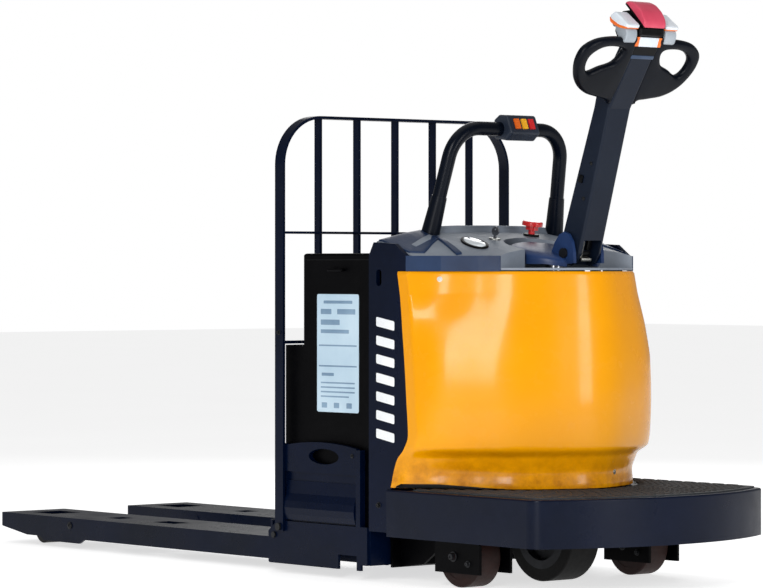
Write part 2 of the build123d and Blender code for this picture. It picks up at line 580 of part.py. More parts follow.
# head of the tiller
HB = (KINK[0] + NECK[0] * 164, KINK[1] + NECK[1] * 164)
head_pts = [(HB[0] - 22.6, HB[1] + 15), (HB[0] + 22.6, HB[1] - 15), (984, 1369), (994, 1394), (1003, 1398), (1006, 1414), (957, 1463), (938, 1462), (915, 1440), (910, 1412)]
AX = (960.0, 1428.0)    # throttle axis
hd = xz(head_pts, -43, 43)
hd = soft(hd, 6, lambda q: q.edges().filter_by(lambda e: abs(e.center().Y) > 42.5))
hd -= cy(AX[0], AX[1], -60, 60, 9.05)
hd -= xz(lower, -50, 50)
stem_at = Plane(origin=(981.5, 0, 1438.5), z_dir=(0.7071, 0, 0.7071))
hd -= stem_at * Pos(0, 0, -5) * Cylinder(8.3, 10)
save("tiller_head", hd)

# handle loops: one moulding, two finger loops, in the plane of the upper arm
OUT = [(30, 207), (76, 211), (122, 214), (172, 202), (204, 170), (209, 130), (192, 88), (166, 60), (132, 42), (96, 34), (60, 28), (30, 26)]
HOLE = [(68, 172), (106, 181), (146, 174), (173, 150), (172, 120), (154, 104), (120, 119), (82, 136)]


def plane_pt(w, v, off):
    return (KINK[0] + NECK[0] * v + qx * off, w, KINK[1] + NECK[1] * v + qz * off)


def loop(s):
    face = make_face(Polyline(*[plane_pt(s * w, v, 3) for w, v in OUT], close=True))
    solid = extrude(face, amount=25, dir=(qx, 0, qz))
    face2 = make_face(Polyline(*[plane_pt(s * w, v, -15) for w, v in HOLE], close=True))
    hole = extrude(face2, amount=60, dir=(qx, 0, qz))
    out = solid - hole
    out = soft(out, 8, lambda q: q.edges().filter_by(lambda e: abs(e.center().Y) > 46))
    return out


loops = loop(-1) + loop(1)
mid = prism([plane_pt(-60, 40, 3), plane_pt(60, 40, 3), plane_pt(60, 40, 28), plane_pt(-60, 40, 28)], (NECK[0], 0, NECK[1]), 60)
loops = loops + mid
up_cut = xz(lower, -39.6, 39.6)
loops = loops - up_cut - xz(head_pts, -44.1, 44.1) - bx(900, 1020, -60, 60, 1388, 1480) - cy(AX[0], AX[1], -94, 94, 41)
save("handle_loops", Compound(children=[q for q in loops.solids() if q.volume > 2000]))

# butterfly throttle: levers either side of the head on one shaft
thr = cy(AX[0], AX[1], -88, 88, 9)
for s in (-1, 1):
    w = xz([(945, 1448), (957, 1456), (964, 1456), (1007, 1424), (1006, 1417), (988, 1413), (964, 1413), (950, 1422)], min(s * 45, s * 92), max(s * 45, s * 92))
    thr += w
thr = soft(thr, 5, lambda q: q.edges().filter_by(lambda e: abs(e.center().Y) > 91))
save("throttle_levers", thr)

# reversing button: padded cap on the end of the head
BN = (0.688, 0.726)     # outward direction
capface = make_face(Polyline((1009, -38, 1416), (951, -38, 1474), (944, -38, 1484), (958, -38, 1486), (981, -38, 1477), (1002, -38, 1459), (1014, -38, 1438), (1016, -38, 1424), close=True))
cap = extrude(capface, amount=76, dir=(0, 1, 0))
cap = soft(cap, 5, lambda q: q.edges().filter_by(lambda e: abs(e.center().Y) > 37))
cap += stem_at * Pos(0, 0, 2) * Cylinder(8, 14)
save("reverse_button", cap)

# ================================================================ casters
for s, name in ((-1, "left"), (1, "right")):
    yc = s * CASTER_Y
    sp = []
    for t in (-1, 1):
        ya = yc + t * 52
        sp.append(xz([(574, 38), (744, 38), (744, 112), (724, 122), (724, 172), (594, 172), (594, 122), (574, 112)], ya - 4, ya + 4))
    yoke = sp[0] + sp[1] + bx(594, 724, yc - 56, yc + 56, 168, 178) + cz(CASTER_X, yc, 178, 212, 12) + cz(CASTER_X, yc, 199, 212, 20)
    yoke -= cy(CASTER_X - TRAIL, CASTER_R, yc - 70, yc + 70, 9)
    save(f"caster_yoke_{name}", yoke)
    rim = cy(CASTER_X - TRAIL, CASTER_R, yc - 34, yc + 34, 60) + cy(CASTER_X - TRAIL, CASTER_R, yc - 47.7, yc + 47.7, 16) + cy(CASTER_X - TRAIL, CASTER_R, yc - 60, yc + 60, 8.95)
    tread = cy(CASTER_X - TRAIL, CASTER_R, yc - 35, yc + 35, CASTER_R) - cy(CASTER_X - TRAIL, CASTER_R, yc - 36, yc + 36, 60)
    tread = soft(tread, 4, lambda q: q.edges().filter_by(GeomType.CIRCLE).filter_by(lambda e: abs(e.radius - CASTER_R) < 0.1))
    save(f"caster_wheel_{name}", Compound(children=[rim.solid() if hasattr(rim, "solid") else rim, tread.solid() if hasattr(tread, "solid") else tread]))
brg = []
for s in (-1, 1):
    brg.append(cz(CASTER_X, s * CASTER_Y, 178.3, 190, 44) - cz(CASTER_X, s * CASTER_Y, 170, 200, 12.1))
save("caster_bearings", Compound(children=brg))

print(len(written), "nodes")
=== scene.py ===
import math
import random

import bmesh
import bpy
from mathutils import Matrix, Vector


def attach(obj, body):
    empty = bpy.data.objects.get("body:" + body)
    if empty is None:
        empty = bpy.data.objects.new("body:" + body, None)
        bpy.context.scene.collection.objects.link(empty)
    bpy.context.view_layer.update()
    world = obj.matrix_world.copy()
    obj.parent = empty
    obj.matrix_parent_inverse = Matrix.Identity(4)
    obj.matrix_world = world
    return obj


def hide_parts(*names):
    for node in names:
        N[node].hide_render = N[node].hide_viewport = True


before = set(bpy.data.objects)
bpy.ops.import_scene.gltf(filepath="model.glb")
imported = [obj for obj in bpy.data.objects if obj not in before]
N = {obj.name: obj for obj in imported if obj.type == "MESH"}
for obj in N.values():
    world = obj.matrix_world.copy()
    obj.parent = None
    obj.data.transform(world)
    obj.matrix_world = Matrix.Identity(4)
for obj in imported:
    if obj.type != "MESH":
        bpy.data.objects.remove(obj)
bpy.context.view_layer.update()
random.seed(7)

XM = 0.147


def T(x, y, z):
    """Truck drawing coordinates in millimetres to the shared frame in metres."""
    return Vector((x / 1000.0 + XM, y / 1000.0, z / 1000.0))


scene = bpy.context.scene
coll = scene.collection


# ------------------------------------------------------------------ materials
class Net:
    def __init__(self, name):
        self.m = bpy.data.materials.new(name)
        self.m.use_nodes = True
        self.t = self.m.node_tree
        self.t.nodes.clear()
        self.out = self.t.nodes.new("ShaderNodeOutputMaterial")
        self.b = self.t.nodes.new("ShaderNodeBsdfPrincipled")
        self.t.links.new(self.b.outputs[0], self.out.inputs[0])
        tc = self.t.nodes.new("ShaderNodeTexCoord")
        self.obj = tc.outputs["Object"]

    def n(self, kind, **props):
        node = self.t.nodes.new(kind)
        for k, v in props.items():
            setattr(node, k, v)
        return node

    def link(self, a, b):
        self.t.links.new(a, b)

    def mapped(self, scale, rot=(0, 0, 0)):
        mp = self.n("ShaderNodeMapping")
        mp.inputs["Scale"].default_value = scale
        mp.inputs["Rotation"].default_value = rot
        self.link(self.obj, mp.inputs["Vector"])
        return mp.outputs[0]

    def noise(self, scale, detail=4.0, rough=0.55, vec=None, distort=0.0):
        t = self.n("ShaderNodeTexNoise")
        t.inputs["Scale"].default_value = scale
        t.inputs["Detail"].default_value = detail
        t.inputs["Roughness"].default_value = rough
        t.inputs["Distortion"].default_value = distort
        self.link(vec if vec is not None else self.obj, t.inputs["Vector"])
        return t.outputs["Fac"]

    def ramp(self, fac, stops):
        r = self.n("ShaderNodeValToRGB")
        e = r.color_ramp.elements
        while len(e) < len(stops):
            e.new(0.5)
        for i, (p, c) in enumerate(stops):
            e[i].position = p
            e[i].color = tuple(c) + (1.0,) if len(c) == 3 else tuple(c)
        self.link(fac, r.inputs[0])
        return r.outputs[0]

    def rng(self, fac, a0, a1, b0, b1):
        r = self.n("ShaderNodeMapRange")
        for i, v in enumerate((a0, a1, b0, b1)):
            r.inputs[1 + i].default_value = v
        self.link(fac, r.inputs[0])
        return r.outputs[0]

    def mix(self, fac, a, b, mode="MIX"):
        m = self.n("ShaderNodeMix", data_type="RGBA", blend_type=mode)
        if isinstance(fac, float):
            m.inputs[0].default_value = fac
        else:
            self.link(fac, m.inputs[0])
        for sock, v in ((m.inputs[6], a), (m.inputs[7], b)):
            if isinstance(v, (tuple, list)):
                sock.default_value = tuple(v) + (1.0,)
            else:
                self.link(v, sock)
        return m.outputs[2]

    def math(self, op, a, b=None):
        m = self.n("ShaderNodeMath", operation=op)
        for i, v in enumerate((a, b)):
            if v is None:
                continue
            if isinstance(v, (int, float)):
                m.inputs[i].default_value = v
            else:
                self.link(v, m.inputs[i])
        return m.outputs[0]

    def bump(self, height, strength, dist, chain=None):
        b = self.n("ShaderNodeBump")
        b.inputs["Strength"].default_value = strength
        b.inputs["Distance"].default_value = dist
        self.link(height, b.inputs["Height"])
        if chain is not None:
            self.link(chain, b.inputs["Normal"])
        return b.outputs[0]

    def edges(self, radius, lo=0.02, hi=0.22):
        """Mask of convex and concave edges, broken up by noise."""
        bv = self.n("ShaderNodeBevel", samples=3)
        bv.inputs["Radius"].default_value = radius
        geo = self.n("ShaderNodeNewGeometry")
        d = self.n("ShaderNodeVectorMath", operation="DOT_PRODUCT")
        self.link(bv.outputs[0], d.inputs[0])
        self.link(geo.outputs["Normal"], d.inputs[1])
        inv = self.math("SUBTRACT", 1.0, d.outputs["Value"])
        m = self.rng(inv, lo, hi, 0.0, 1.0)
        nz = self.rng(self.noise(60.0, 6.0, 0.7), 0.45, 0.68, 0.0, 1.0)
        return self.math("MULTIPLY", m, nz)

    def set(self, **k):
        for key, v in k.items():
            s = self.b.inputs[key.replace("_", " ")]
            if isinstance(v, (int, float)):
                s.default_value = v
            elif isinstance(v, tuple):
                s.default_value = v if len(v) == 4 or len(v) == 2 else v + (1.0,)
            else:
                self.link(v, s)
        return self.m


def srgb(r, g, b):
    f = lambda c: (c / 255.0 / 12.92) if c / 255.0 <= 0.04045 else ((c / 255.0 + 0.055) / 1.055) ** 2.4
    return (f(r), f(g), f(b))


def painted(name, dark, light, worn, rough=0.36, coat=0.05, peel=0.35, spec=0.26, wear=True, grain=900.0):
    """Powder-coated or painted sheet: cloudy tone, orange peel, dust, worn edges."""
    k = Net(name)
    big = k.noise(2.6, 5.0, 0.6)
    col = k.ramp(big, [(0.3, dark), (0.7, light)])
    fine = k.noise(38.0, 6.0, 0.65)
    dust = k.rng(fine, 0.52, 0.8, 0.0, 0.2)
    col = k.mix(dust, col, tuple(min(1.0, c * 1.4 + 0.006) for c in light))
    if wear:
        col = k.mix(k.math("MULTIPLY", k.edges(0.0016), 0.55), col, worn)
    ro = k.rng(k.noise(9.0, 4.0, 0.6), 0.3, 0.75, rough - 0.07, rough + 0.09)
    pe = k.bump(k.noise(grain, 2.0, 0.5), peel, 0.00022)
    wav = k.bump(k.noise(16.0, 2.0, 0.4), 0.14, 0.0012, pe)
    return k.set(Base_Color=col, Roughness=ro, Normal=wav, Coat_Weight=coat, Coat_Roughness=0.2, Specular_IOR_Level=spec)


def plastic(name, dark, light, rough=0.45, grain=700.0, depth=0.35, coat=0.0, scuff=0.25, spec=0.4):
    """Moulded plastic: fine spark texture, uneven sheen and light scuffs."""
    k = Net(name)
    col = k.ramp(k.noise(5.0, 5.0, 0.6), [(0.32, dark), (0.7, light)])
    sc = k.noise(46.0, 8.0, 0.75, k.mapped((1.0, 5.0, 1.0), (0.3, 0.2, 0.6)))
    col = k.mix(k.rng(sc, 0.58, 0.78, 0.0, scuff), col, tuple(min(1.0, c * 1.35 + 0.02) for c in light))
    ro = k.rng(sc, 0.35, 0.75, rough - 0.06, rough + 0.1)
    vor = k.n("ShaderNodeTexVoronoi")
    vor.inputs["Scale"].default_value = grain
    k.link(k.obj, vor.inputs["Vector"])
    nb = k.bump(vor.outputs["Distance"], depth, 0.00018)
    nb = k.bump(k.noise(14.0, 2.0, 0.5), 0.08, 0.001, nb)
    return k.set(Base_Color=col, Roughness=ro, Normal=nb, Coat_Weight=coat, Coat_Roughness=0.12, Specular_IOR_Level=spec)


def metal(name, dark, light, rough=0.3, metallic=1.0, brush=(4.0, 260.0, 260.0)):
    k = Net(name)
    col = k.ramp(k.noise(12.0, 6.0, 0.65), [(0.3, dark), (0.72, light)])
    br = k.noise(6.0, 4.0, 0.6, k.mapped(brush))
    ro = k.rng(br, 0.3, 0.7, rough - 0.08, rough + 0.14)
    return k.set(Base_Color=col, Metallic=metallic, Roughness=ro, Normal=k.bump(br, 0.18, 0.0002))


def rubber(name, dark, light, rough=0.72, worn=None, wear=0.3, spec=0.25):
    k = Net(name)
    col = k.ramp(k.noise(7.0, 6.0, 0.65), [(0.3, dark), (0.7, light)])
    sc = k.noise(80.0, 8.0, 0.7)
    col = k.mix(k.rng(sc, 0.55, 0.8, 0.0, wear), col, worn or tuple(min(1.0, c * 1.6 + 0.02) for c in light))
    ro = k.rng(sc, 0.3, 0.8, rough - 0.1, rough + 0.1)
    nb = k.bump(k.noise(420.0, 4.0, 0.6), 0.35, 0.0003)
    return k.set(Base_Color=col, Roughness=ro, Normal=nb, Specular_IOR_Level=spec)


M = {}
M["navy"] = painted("navy_paint", srgb(0, 7, 24), srgb(2, 13, 38), srgb(44, 54, 76), 0.3, 0.0, 0.35, 0.1)
M["navy_deck"] = painted("navy_deck_paint", srgb(3, 9, 24), srgb(8, 17, 38), srgb(60, 70, 90), 0.32, 0.0, 0.5, 0.14)
M["black"] = painted("black_paint", srgb(0, 0, 1), srgb(2, 2, 4), srgb(34, 36, 40), 0.45, 0.0, 0.35, 0.05)
M["charcoal"] = painted("charcoal_paint", srgb(10, 18, 32), srgb(18, 27, 42), srgb(60, 68, 82), 0.36, 0.0, 0.5, 0.16)
M["bar"] = painted("bar_paint", srgb(0, 5, 16), srgb(3, 10, 24), srgb(50, 58, 72), 0.3, 0.0, 0.35, 0.14)


def yellow_cover():
    k = Net("yellow_cover")
    col = k.ramp(k.noise(1.8, 4.0, 0.55), [(0.28, srgb(232, 150, 0)), (0.72, srgb(240, 162, 0))])
    haze = k.rng(k.noise(30.0, 7.0, 0.7), 0.56, 0.85, 0.0, 0.16)
    col = k.mix(haze, col, srgb(246, 174, 16))
    # painted shade: darker orange from the foot up through the recess under the bulge, fading out by 370 mm and broken
    # up by noise
    sep = k.n("ShaderNodeSeparateXYZ")
    k.link(k.obj, sep.inputs[0])
    low = k.rng(sep.outputs["Z"], 0.25, 0.37, 0.75, 0.0)
    painted_recess_shade = k.math("MULTIPLY", low, k.rng(k.noise(22.0, 6.0, 0.7), 0.35, 0.7, 0.0, 1.0))
    col = k.mix(painted_recess_shade, col, srgb(140, 66, 0))
    ro = k.rng(k.noise(12.0, 5.0, 0.6), 0.3, 0.75, 0.20, 0.33)
    wav = k.bump(k.noise(7.0, 2.0, 0.4), 0.22, 0.0035)
    fine = k.bump(k.noise(520.0, 2.0, 0.5), 0.12, 0.0002, wav)
    return k.set(Base_Color=col, Roughness=ro, Normal=fine, Coat_Weight=0.22, Coat_Roughness=0.1, Specular_IOR_Level=0.15)


M["yellow"] = yellow_cover()
M["console"] = plastic("console_grey", srgb(104, 112, 124), srgb(134, 142, 152), 0.5, 620.0, 0.4)
M["fascia"] = plastic("fascia_blue", srgb(20, 36, 64), srgb(34, 54, 86), 0.36, 620.0, 0.3, 0.0, 0.15, 0.2)
M["hub"] = plastic("hub_navy", srgb(20, 40, 78), srgb(34, 58, 102), 0.36, 620.0, 0.25, 0.0, 0.12, 0.3)
M["loops"] = plastic("loop_navy", srgb(0, 3, 10), srgb(3, 8, 20), 0.34, 620.0, 0.35, 0.0, 0.1, 0.12)
M["dark"] = plastic("black_plastic", srgb(2, 3, 5), srgb(8, 9, 12), 0.42, 620.0, 0.35, 0.0, 0.15, 0.12)
M["white"] = plastic("white_plastic", srgb(200, 210, 220), srgb(226, 232, 238), 0.3, 620.0, 0.15, 0.3, 0.12)
M["greylever"] = plastic("grey_plastic", srgb(122, 130, 140), srgb(168, 176, 184), 0.4, 620.0, 0.3)
M["pod"] = plastic("pod_navy", srgb(30, 37, 50), srgb(46, 54, 68), 0.4, 620.0, 0.3, 0.0, 0.15, 0.25)
M["trim"] = plastic("trim_blue", srgb(44, 60, 84), srgb(64, 82, 108), 0.4, 620.0, 0.3, 0.0, 0.15, 0.25)
M["red"] = plastic("red_plastic", srgb(190, 18, 24), srgb(222, 36, 38), 0.28, 620.0, 0.12, 0.4, 0.1)
M["cap"] = plastic("pad_red", srgb(196, 58, 84), srgb(218, 82, 106), 0.46, 900.0, 0.3, 0.0, 0.18)
M["orange"] = plastic("orange_plastic", srgb(226, 92, 10), srgb(244, 124, 24), 0.32, 620.0, 0.15, 0.3, 0.1)
M["amber"] = plastic("amber_plastic", srgb(232, 160, 16), srgb(250, 190, 40), 0.3, 620.0, 0.12, 0.3, 0.1)
M["nylon"] = plastic("white_nylon", srgb(200, 200, 194), srgb(222, 222, 216), 0.42, 500.0, 0.2)
M["cell"] = plastic("cell_plastic", srgb(60, 62, 66), srgb(84, 86, 90), 0.5, 500.0, 0.3)
M["label"] = plastic("plate_film", srgb(178, 204, 222), srgb(200, 222, 236), 0.4, 300.0, 0.05, 0.1, 0.1)
M["labelbar"] = plastic("plate_ink", srgb(104, 132, 158), srgb(140, 168, 192), 0.4, 300.0, 0.05)
M["stripe"] = plastic("stripe_film", srgb(232, 236, 240), srgb(250, 252, 253), 0.3, 300.0, 0.05, 0.3, 0.1)
M["steel"] = metal("bright_steel", srgb(150, 152, 158), srgb(196, 198, 202), 0.26)
M["zinc"] = metal("zinc_steel", srgb(164, 164, 158), srgb(206, 206, 200), 0.34)
M["boltblack"] = metal("bolt_black", srgb(18, 19, 22), srgb(34, 36, 40), 0.4, 0.5)
M["iron"] = metal("cast_iron", srgb(34, 35, 38), srgb(58, 60, 64), 0.55, 0.6, (60.0, 60.0, 60.0))
M["alloy"] = metal("cast_alloy", srgb(128, 132, 138), srgb(168, 172, 178), 0.4)
M["mat"] = rubber("mat_rubber", srgb(40, 43, 47), srgb(60, 64, 68), 0.7, srgb(96, 100, 104), 0.35)
M["drive"] = rubber("drive_tread", srgb(5, 5, 5), srgb(12, 12, 12), 0.75, srgb(34, 32, 30), 0.3)
M["castertread"] = rubber("caster_tread", srgb(18, 6, 4), srgb(40, 12, 7), 0.6, srgb(18, 14, 13), 0.5)
M["load"] = rubber("load_tread", srgb(20, 20, 22), srgb(38, 38, 40), 0.55, srgb(96, 92, 88), 0.35)


def glass():
    k = Net("gauge_glass")
    col = k.ramp(k.noise(30.0, 4.0, 0.5), [(0.3, srgb(214, 224, 232)), (0.7, srgb(238, 244, 248))])
    ro = k.rng(k.noise(60.0, 4.0, 0.6), 0.3, 0.8, 0.06, 0.16)
    return k.set(Base_Color=col, Roughness=ro, Normal=k.bump(k.noise(300.0, 2.0), 0.04, 0.0002), Coat_Weight=0.8, Coat_Roughness=0.04)


M["gauge"] = glass()

NODE_MAT = {
    "fork_left": "navy", "fork_right": "navy", "carriage_frame": "navy", "guide_shoes": "nylon", "lift_ram": "steel",
    "battery_case": "black", "battery_cells": "cell", "battery_gate_left": "navy", "battery_gate_right": "navy",
    "load_backrest": "navy", "carriage_bolts": "boltblack", "load_arm_left": "black", "load_arm_right": "black",
    "load_wheel_left": "load", "load_wheel_right": "load", "pull_rod_left": "black", "pull_rod_right": "black",
    "chassis_frame": "black", "guide_rails": "black", "side_panel_left": "navy", "side_panel_right": "navy",
    "platform_deck": "navy_deck", "platform_mat": "mat", "motor_cover": "yellow", "console_top": "console",
    "console_fascia": "fascia", "charge_gauge": "dark", "key_lock": "zinc", "key": "steel", "stop_collar": "dark",
    "stop_button": "red", "grab_bar": "bar", "control_pod": "pod", "lower_button": "orange", "horn_button": "amber",
    "lift_button": "red", "lift_cylinder": "black", "pump_motor": "zinc", "oil_tank": "cell", "motor_controller": "alloy",
    "slew_ring_outer": "steel", "slew_ring_inner": "steel", "drive_gearbox": "iron", "drive_motor": "black",
    "parking_brake": "black", "steer_column": "steel", "drive_hub": "iron", "drive_tyre": "drive", "steer_hub": "hub",
    "tiller_pin": "boltblack", "tiller_arm": "charcoal", "tiller_head": "dark", "handle_loops": "loops",
    "throttle_levers": "white", "reverse_button": "cap", "caster_yoke_left": "black", "caster_yoke_right": "black",
    "caster_wheel_left": "castertread", "caster_wheel_right": "castertread", "caster_bearings": "steel",
}
BEVEL = {
    "fork_left": 2.0, "fork_right": 2.0, "carriage_frame": 1.2, "battery_gate_left": 2.2, "battery_gate_right": 2.2,
    "side_panel_left": 1.6, "side_panel_right": 1.6, "platform_deck": 1.0, "platform_mat": 1.0, "tiller_arm": 1.0,
    "load_backrest": 1.2, "chassis_frame": 1.0, "caster_yoke_left": 1.2, "caster_yoke_right": 1.2, "console_fascia": 1.2,
    "console_top": 2.0, "charge_gauge": 1.2, "steer_hub": 1.6, "control_pod": 4.0, "lower_button": 1.2, "horn_button": 1.2,
    "lift_button": 1.2, "load_arm_left": 0.8, "load_arm_right": 0.8, "stop_collar": 1.2, "key": 0.5, "key_lock": 0.8,
    "pull_rod_left": 1.0, "pull_rod_right": 1.0, "battery_case": 0.8, "carriage_bolts": 1.4, "tiller_pin": 1.2,
}


def dress(o, mat):
    o.data.materials.clear()
    o.data.materials.append(mat)
    for p in o.data.polygons:
        p.material_index = 0


def bevel_mod(o, mm, seg=2, angle=32.0):
    m = o.modifiers.new("round", "BEVEL")
    m.width = mm / 1000.0
    m.segments = seg
    m.limit_method = "ANGLE"
    m.angle_limit = math.radians(angle)
    m.use_clamp_overlap = True
    m.harden_normals = False
    return m


for name, o in N.items():
    dress(o, M[NODE_MAT[name]])
    o.data.shade_smooth()
    if hasattr(o.data, "set_sharp_from_angle"):
        o.data.set_sharp_from_angle(angle=math.radians(30))


# ------------------------------------------------------------------ mesh helpers
def obj_from(name, bm, mat, body, smooth=True, sharp=35.0, replaces=(), recalc=True):
    bmesh.ops.remove_doubles(bm, verts=bm.verts, dist=1e-6)
    if recalc:
        bmesh.ops.recalc_face_normals(bm, faces=bm.faces)
    me = bpy.data.meshes.new(name)
    bm.to_mesh(me)
    bm.free()
    if smooth:
        me.shade_smooth()
        me.set_sharp_from_angle(angle=math.radians(sharp))
    o = bpy.data.objects.new(name, me)
    coll.objects.link(o)
    me.materials.append(mat)
    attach(o, body)
    if replaces:
        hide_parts(*replaces)
    return o


def ring_skin(bm, rings, close_ring=True, caps=True):
    """Skins a list of equal-length rings of points."""
    vs = [[bm.verts.new(p) for p in r] for r in rings]
    n = len(vs[0])
    for a, b in zip(vs, vs[1:]):
        for i in range(n if close_ring else n - 1):
            j = (i + 1) % n
            bm.faces.new((a[i], a[j], b[j], b[i]))
    if caps:
        bm.faces.new(vs[0][::-1])
        bm.faces.new(vs[-1])
    return vs


def tube(bm, pts, r, seg=24, caps=True, radii=None):
    """Round tube along a polyline with a steady frame."""
    pts = [Vector(p) for p in pts]
    rings = []
    up = None
    for i, p in enumerate(pts):
        a = pts[max(0, i - 1)]
        b = pts[min(len(pts) - 1, i + 1)]
        t = (b - a).normalized()
        if up is None:
            up = t.orthogonal().normalized()
        up = (up - t * up.dot(t)).normalized()
        side = t.cross(up)
        rr = radii[i] if radii else r
        rings.append([p + (up * math.cos(2 * math.pi * k / seg) + side * math.sin(2 * math.pi * k / seg)) * rr for k in range(seg)])
    ring_skin(bm, rings, True, caps)


def lathe(bm, centre, axis, profile, seg=40, phase=0.0):
    """Turns a (radius, height) profile about an axis."""
    ax = Vector(axis).normalized()
    u = ax.orthogonal().normalized()
    v = ax.cross(u)
    rings = []
    for r, h in profile:
        rings.append([Vector(centre) + ax * h + (u * math.cos(2 * math.pi * k / seg + phase) + v * math.sin(2 * math.pi * k / seg + phase)) * max(r, 1e-5) for k in range(seg)])
    ring_skin(bm, rings, True, True)


def smooth_path(pts, steps=10):
    """Catmull-Rom through points."""
    out = []
    P = [Vector(p) for p in pts]
    P = [P[0] * 2 - P[1]] + P + [P[-1] * 2 - P[-2]]
    for i in range(1, len(P) - 2):
        for s in range(steps):
            t = s / steps
            a, b, c, d = P[i - 1], P[i], P[i + 1], P[i + 2]
            out.append(0.5 * ((2 * b) + (c - a) * t + (2 * a - 5 * b + 4 * c - d) * t * t + (3 * b - a - 3 * c + d) * t * t * t))
    out.append(P[-2])
    return out


def interp(table, z):
    """Smooth monotone interpolation of a dict table."""
    ks = sorted(table)
    if z <= ks[0]:
        return table[ks[0]]
    if z >= ks[-1]:
        return table[ks[-1]]
    i = max(k for k in range(len(ks) - 1) if ks[k] <= z)
    x0, x1 = ks[i], ks[i + 1]
    y0, y1 = table[x0], table[x1]

    def slope(j):
        if j == 0 or j == len(ks) - 1:
            return (table[ks[min(j + 1, len(ks) - 1)]] - table[ks[max(j - 1, 0)]]) / (ks[min(j + 1, len(ks) - 1)] - ks[max(j - 1, 0)])
        a = (table[ks[j]] - table[ks[j - 1]]) / (ks[j] - ks[j - 1])
        b = (table[ks[j + 1]] - table[ks[j]]) / (ks[j + 1] - ks[j])
        return 0.0 if a * b <= 0 else 2 * a * b / (a + b)

    t = (z - x0) / (x1 - x0)
    m0, m1 = slope(i) * (x1 - x0), slope(i + 1) * (x1 - x0)
    return (2 * t ** 3 - 3 * t ** 2 + 1) * y0 + (t ** 3 - 2 * t ** 2 + t) * m0 + (-2 * t ** 3 + 3 * t ** 2) * y1 + (t ** 3 - t ** 2) * m1


# ------------------------------------------------------------------ motor cover
EDGE = {248: 456, 290: 468, 322: 482, 345: 505, 384: 524, 470: 518, 560: 511, 650: 502, 730: 494, 803: 481}
GROW = {248: -5, 290: -1, 322: 10, 345: 18, 384: 22, 470: 25, 560: 23, 650: 15, 730: 3, 803: -9}
BASE = [(456, -401), (498, -400), (576, -337), (653, -277), (737, -205), (789, -115), (822, 0)]


def dip(z):
    """Depth share of the moulded recess above the foot."""
    a = max(0.0, min(1.0, (352 - z) / 24.0))
    b = max(0.0, min(1.0, (z - 250) / 46.0))
    return a * a * (3 - 2 * a) * (0.55 + 0.45 * b * b * (3 - 2 * b))


def half_contour(z, inset=0.0):
    e, g = interp(EDGE, z), interp(GROW, z) - inset - 13.0 * dip(z)
    full = max(0.0, min(1.0, (g + inset) / 22.0)) * 24.0
    pts = [(e, -401 + inset)]
    for i, (x, y) in enumerate(BASE[1:]):
        if i == 0:
            pts.append((e + 36, -400 + inset + 11.0 * dip(z)))
            continue
        a = BASE[i]
        b = BASE[i + 2] if i + 2 < len(BASE) else (789, 115)
        tx, ty = b[0] - a[0], b[1] - a[1]
        L = math.hypot(tx, ty)
        nx, ny = ty / L, -tx / L
        k = {1: 1.0, 2: 0.75, 3: 0.35, 4: 0.1, 5: 0.0}[i]
        pts.append((x + nx * (g + full * k), y + ny * (g + full * k)))
    return pts


def contour_points(z, inset=0.0, steps=12):
    h = half_contour(z, inset)
    full = h + [(x, -y) for x, y in h[-2::-1]]
    body = smooth_path([(x, y, 0) for x, y in full[1:-1]], steps)
    line = [Vector((full[0][0] + (full[1][0] - full[0][0]) * k / 4, full[0][1] + (full[1][1] - full[0][1]) * k / 4, 0)) for k in range(4)]
    back = [Vector((full[-2][0] + (full[-1][0] - full[-2][0]) * k / 4, full[-2][1] + (full[-1][1] - full[-2][1]) * k / 4, 0)) for k in range(1, 5)]
    return line + body + back


bm = bmesh.new()
outer, inner = [], []
ZS = [248 + (803 - 248) * i / 110 for i in range(111)]
for z in ZS:
    o_pts = contour_points(z)
    i_pts = contour_points(z, 4.0)
    # a small rolled lip along the top edge
    roll = 3.0 * max(0.0, 1 - (803 - z) / 5.0) ** 2
    outer.append([T(p.x, p.y, z) for p in contour_points(z, roll)] if roll > 0 else [T(p.x, p.y, z) for p in o_pts])
    inner.append([T(p.x, p.y, z) for p in i_pts])
vo = [[bm.verts.new(p) for p in r] for r in outer]
vi = [[bm.verts.new(p) for p in r] for r in inner]
n = len(vo[0])
for a in range(len(vo) - 1):
    for i in range(n - 1):
        bm.faces.new((vo[a][i], vo[a][i + 1], vo[a + 1][i + 1], vo[a + 1][i]))
        bm.faces.new((vi[a][i], vi[a + 1][i], vi[a + 1][i + 1], vi[a][i + 1]))
    for i in (0, n - 1):
        q = (vo[a][i], vo[a + 1][i], vi[a + 1][i], vi[a][i])
        bm.faces.new(q if i == 0 else q[::-1])
for i in range(n - 1):
    bm.faces.new((vo[0][i], vi[0][i], vi[0][i + 1], vo[0][i + 1]))
    bm.faces.new((vo[-1][i], vo[-1][i + 1], vi[-1][i + 1], vi[-1][i]))
cover = obj_from("cover_shell", bm, M["yellow"], "chassis", sharp=50.0, replaces=["motor_cover"])


def on_cover(i_frac, z, out=0.0):
    """Point and outward direction on the cover at a share of its contour length."""
    pts = contour_points(z)
    ds = [0.0]
    for a, b in zip(pts, pts[1:]):
        ds.append(ds[-1] + (b - a).length)
    want = ds[-1] * i_frac
    for k in range(len(ds) - 1):
        if ds[k] <= want <= ds[k + 1]:
            t = (want - ds[k]) / max(1e-6, ds[k + 1] - ds[k])
            p = pts[k].lerp(pts[k + 1], t)
            d = (pts[k + 1] - pts[k]).normalized()
            nrm = Vector((d.y, -d.x, 0))
            return T(p.x + nrm.x * out, p.y + nrm.y * out, z), nrm
    return T(pts[-1].x, pts[-1].y, z), Vector((1, 0, 0))


